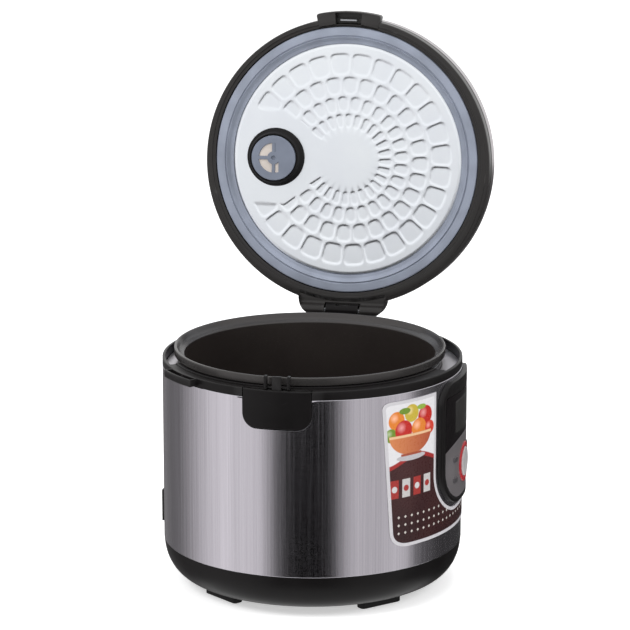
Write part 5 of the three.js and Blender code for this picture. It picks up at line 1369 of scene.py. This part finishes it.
# Card tones by direction round the object: degrees from the camera's own side, positive to the right
cardTones = [
    (-180, 0.12), (-160, 0.22), (-146, 0.20), (-134, 0.16), (-120, 0.19), (-111, 0.30), (-102, 0.42),
    (-94, 0.58), (-86, 0.72), (-78, 0.84), (-71, 0.96), (-64, 0.98), (-60, 0.80), (-53, 0.86),
    (-45, 0.92), (-39, 0.78), (-33, 0.50), (-27, 0.16), (-21, 0.04), (-13, 0.008), (13, 0.008),
    (19, 0.20), (25, 0.60), (34, 0.68), (46, 0.62), (60, 0.72), (74, 0.72), (82, 0.16), (110, 0.05),
    (150, 0.05), (180, 0.12),
]


def stageMesh(name, points, faces, material):
    mesh = bpy.data.meshes.new(name)
    mesh.from_pydata([tuple(p) for p in points], [], [list(map(int, f)) for f in faces])
    mesh.materials.append(material)
    obj = bpy.data.objects.new(name, mesh)
    bpy.context.scene.collection.objects.link(obj)
    return obj


# Seen by the camera the floor glows a little, so that it joins the white behind it
def floorMaterial():
    n = Finish("studioFloor")
    glow = n.math("MULTIPLY", n.add("LightPath").outputs["Is Camera Ray"], studio["floorLift"])
    n.set(Base_Color=(0.93, 0.93, 0.935, 1), Roughness=0.85, Specular_IOR_Level=0.1)
    n.set(Emission_Color=(1, 1, 1, 1), Emission_Strength=glow)
    return n.material


# The cards' glow is looked up by the angle round the object, in turns counted from behind the object
def cardMaterial():
    material = bpy.data.materials.new("studioCards")
    n = Nodes(material)
    n.tree.nodes.clear()
    spot = n.split(n.add("NewGeometry").outputs["Position"])
    start = 0.5 - (270 + view["azimuth"]) / 360
    turns = n.math("MULTIPLY_ADD", n.math("ARCTAN2", spot[1], spot[0]), 1 / (2 * math.pi), start)
    ramp = n.add("ValToRGB", {0: n.math("FRACT", turns)})
    stops = ramp.color_ramp.elements
    while len(stops) < len(cardTones):
        stops.new(0.5)
    for stop, (where, tone) in zip(stops, cardTones):
        stop.position = (where + 180) / 360
        stop.color = (tone, tone * 0.975, tone * 0.985, 1)
    glow = n.add("Emission", {"Color": ramp.outputs[0], "Strength": 1.0})
    n.add("OutputMaterial", {0: glow.outputs[0]})
    return material


floorSteps = studio["floorSteps"]
floorRim = atLevel(circleOutline(0, 0, studio["floorRadius"], floorSteps), 0)
floorFaces = [[0, 1 + i, 1 + (i + 1) % floorSteps] for i in range(floorSteps)]
floor = stageMesh("studioFloor", np.concatenate([[[0, 0, 0]], floorRim]), floorFaces, floorMaterial())
floor.visible_glossy = False

cardOutline = circleOutline(0, 0, studio["cardRadius"], studio["cardSteps"])
cardPoints = np.concatenate([atLevel(cardOutline, studio[k]) for k in ("cardTop", "cardLow")])
cardFaces = gridFaces(2, studio["cardSteps"], True)
cards = stageMesh("studioCards", cardPoints, cardFaces, cardMaterial())
for part in ("camera", "diffuse", "shadow", "transmission", "volume_scatter"):
    setattr(cards, f"visible_{part}", False)

# World: white for camera, glossy and transmission rays, softer for all other light
world = bpy.data.worlds.new("studioWorld")
bpy.context.scene.world = world
sky = Nodes(world)
rays = sky.add("LightPath").outputs
mirrored = sky.math("MAXIMUM", rays["Is Glossy Ray"], rays["Is Transmission Ray"])
seen = sky.math("MAXIMUM", rays["Is Camera Ray"], mirrored)
background = sky.tree.nodes["Background"]
sky.put(background.inputs["Strength"], sky.ramp(seen, 0, 1, studio["worldSoft"], 1.0))
background.inputs["Color"].default_value = (1, 1, 1, 1)


# From the object towards an azimuth and elevation: x = sin az cos el, y = -cos az cos el, z = sin el
def direction(azimuth, elevation):
    az, el = math.radians(azimuth), math.radians(elevation)
    return Vector((math.sin(az) * math.cos(el), -math.cos(az) * math.cos(el), math.sin(el)))


# Camera at the photograph's place
back = direction(view["azimuth"], view["elevation"])
cameraData = bpy.data.cameras.new("camera")
cameraData.lens = view["lens"]
cameraData.sensor_width = 36.0
cameraData.clip_end = 60.0
camera = bpy.data.objects.new("camera", cameraData)
bpy.context.scene.collection.objects.link(camera)
camera.location = Vector(view["target"]) + back * view["distance"]
camera.rotation_euler = (-back).to_track_quat("-Z", "Y").to_euler()
bpy.context.scene.camera = camera

# Soft lamps: (direction in degrees from the camera's side, height, distance, size, watts)
lamps = {
    "left": (-55, 42, 2.4, 1.3, 26.0), "right": (62, 35, 2.4, 1.2, 14.0),
    "top": (0, 86, 2.2, 1.6, 16.0), "rear": (170, 40, 2.6, 1.4, 8.0),
}
for name, (side, height, distance, size, power) in lamps.items():
    lampData = bpy.data.lights.new(name, "AREA")
    lampData.shape, lampData.size, lampData.energy = "DISK", size, power
    lamp = bpy.data.objects.new(name, lampData)
    bpy.context.scene.collection.objects.link(lamp)
    away = direction(view["azimuth"] + side, height)
    lamp.location = Vector(view["target"]) + away * distance
    lamp.rotation_euler = away.to_track_quat("Z", "Y").to_euler()
    lamp.visible_glossy = False

bpy.context.scene.view_settings.view_transform = "Standard"
print("multicooker: studio ready")
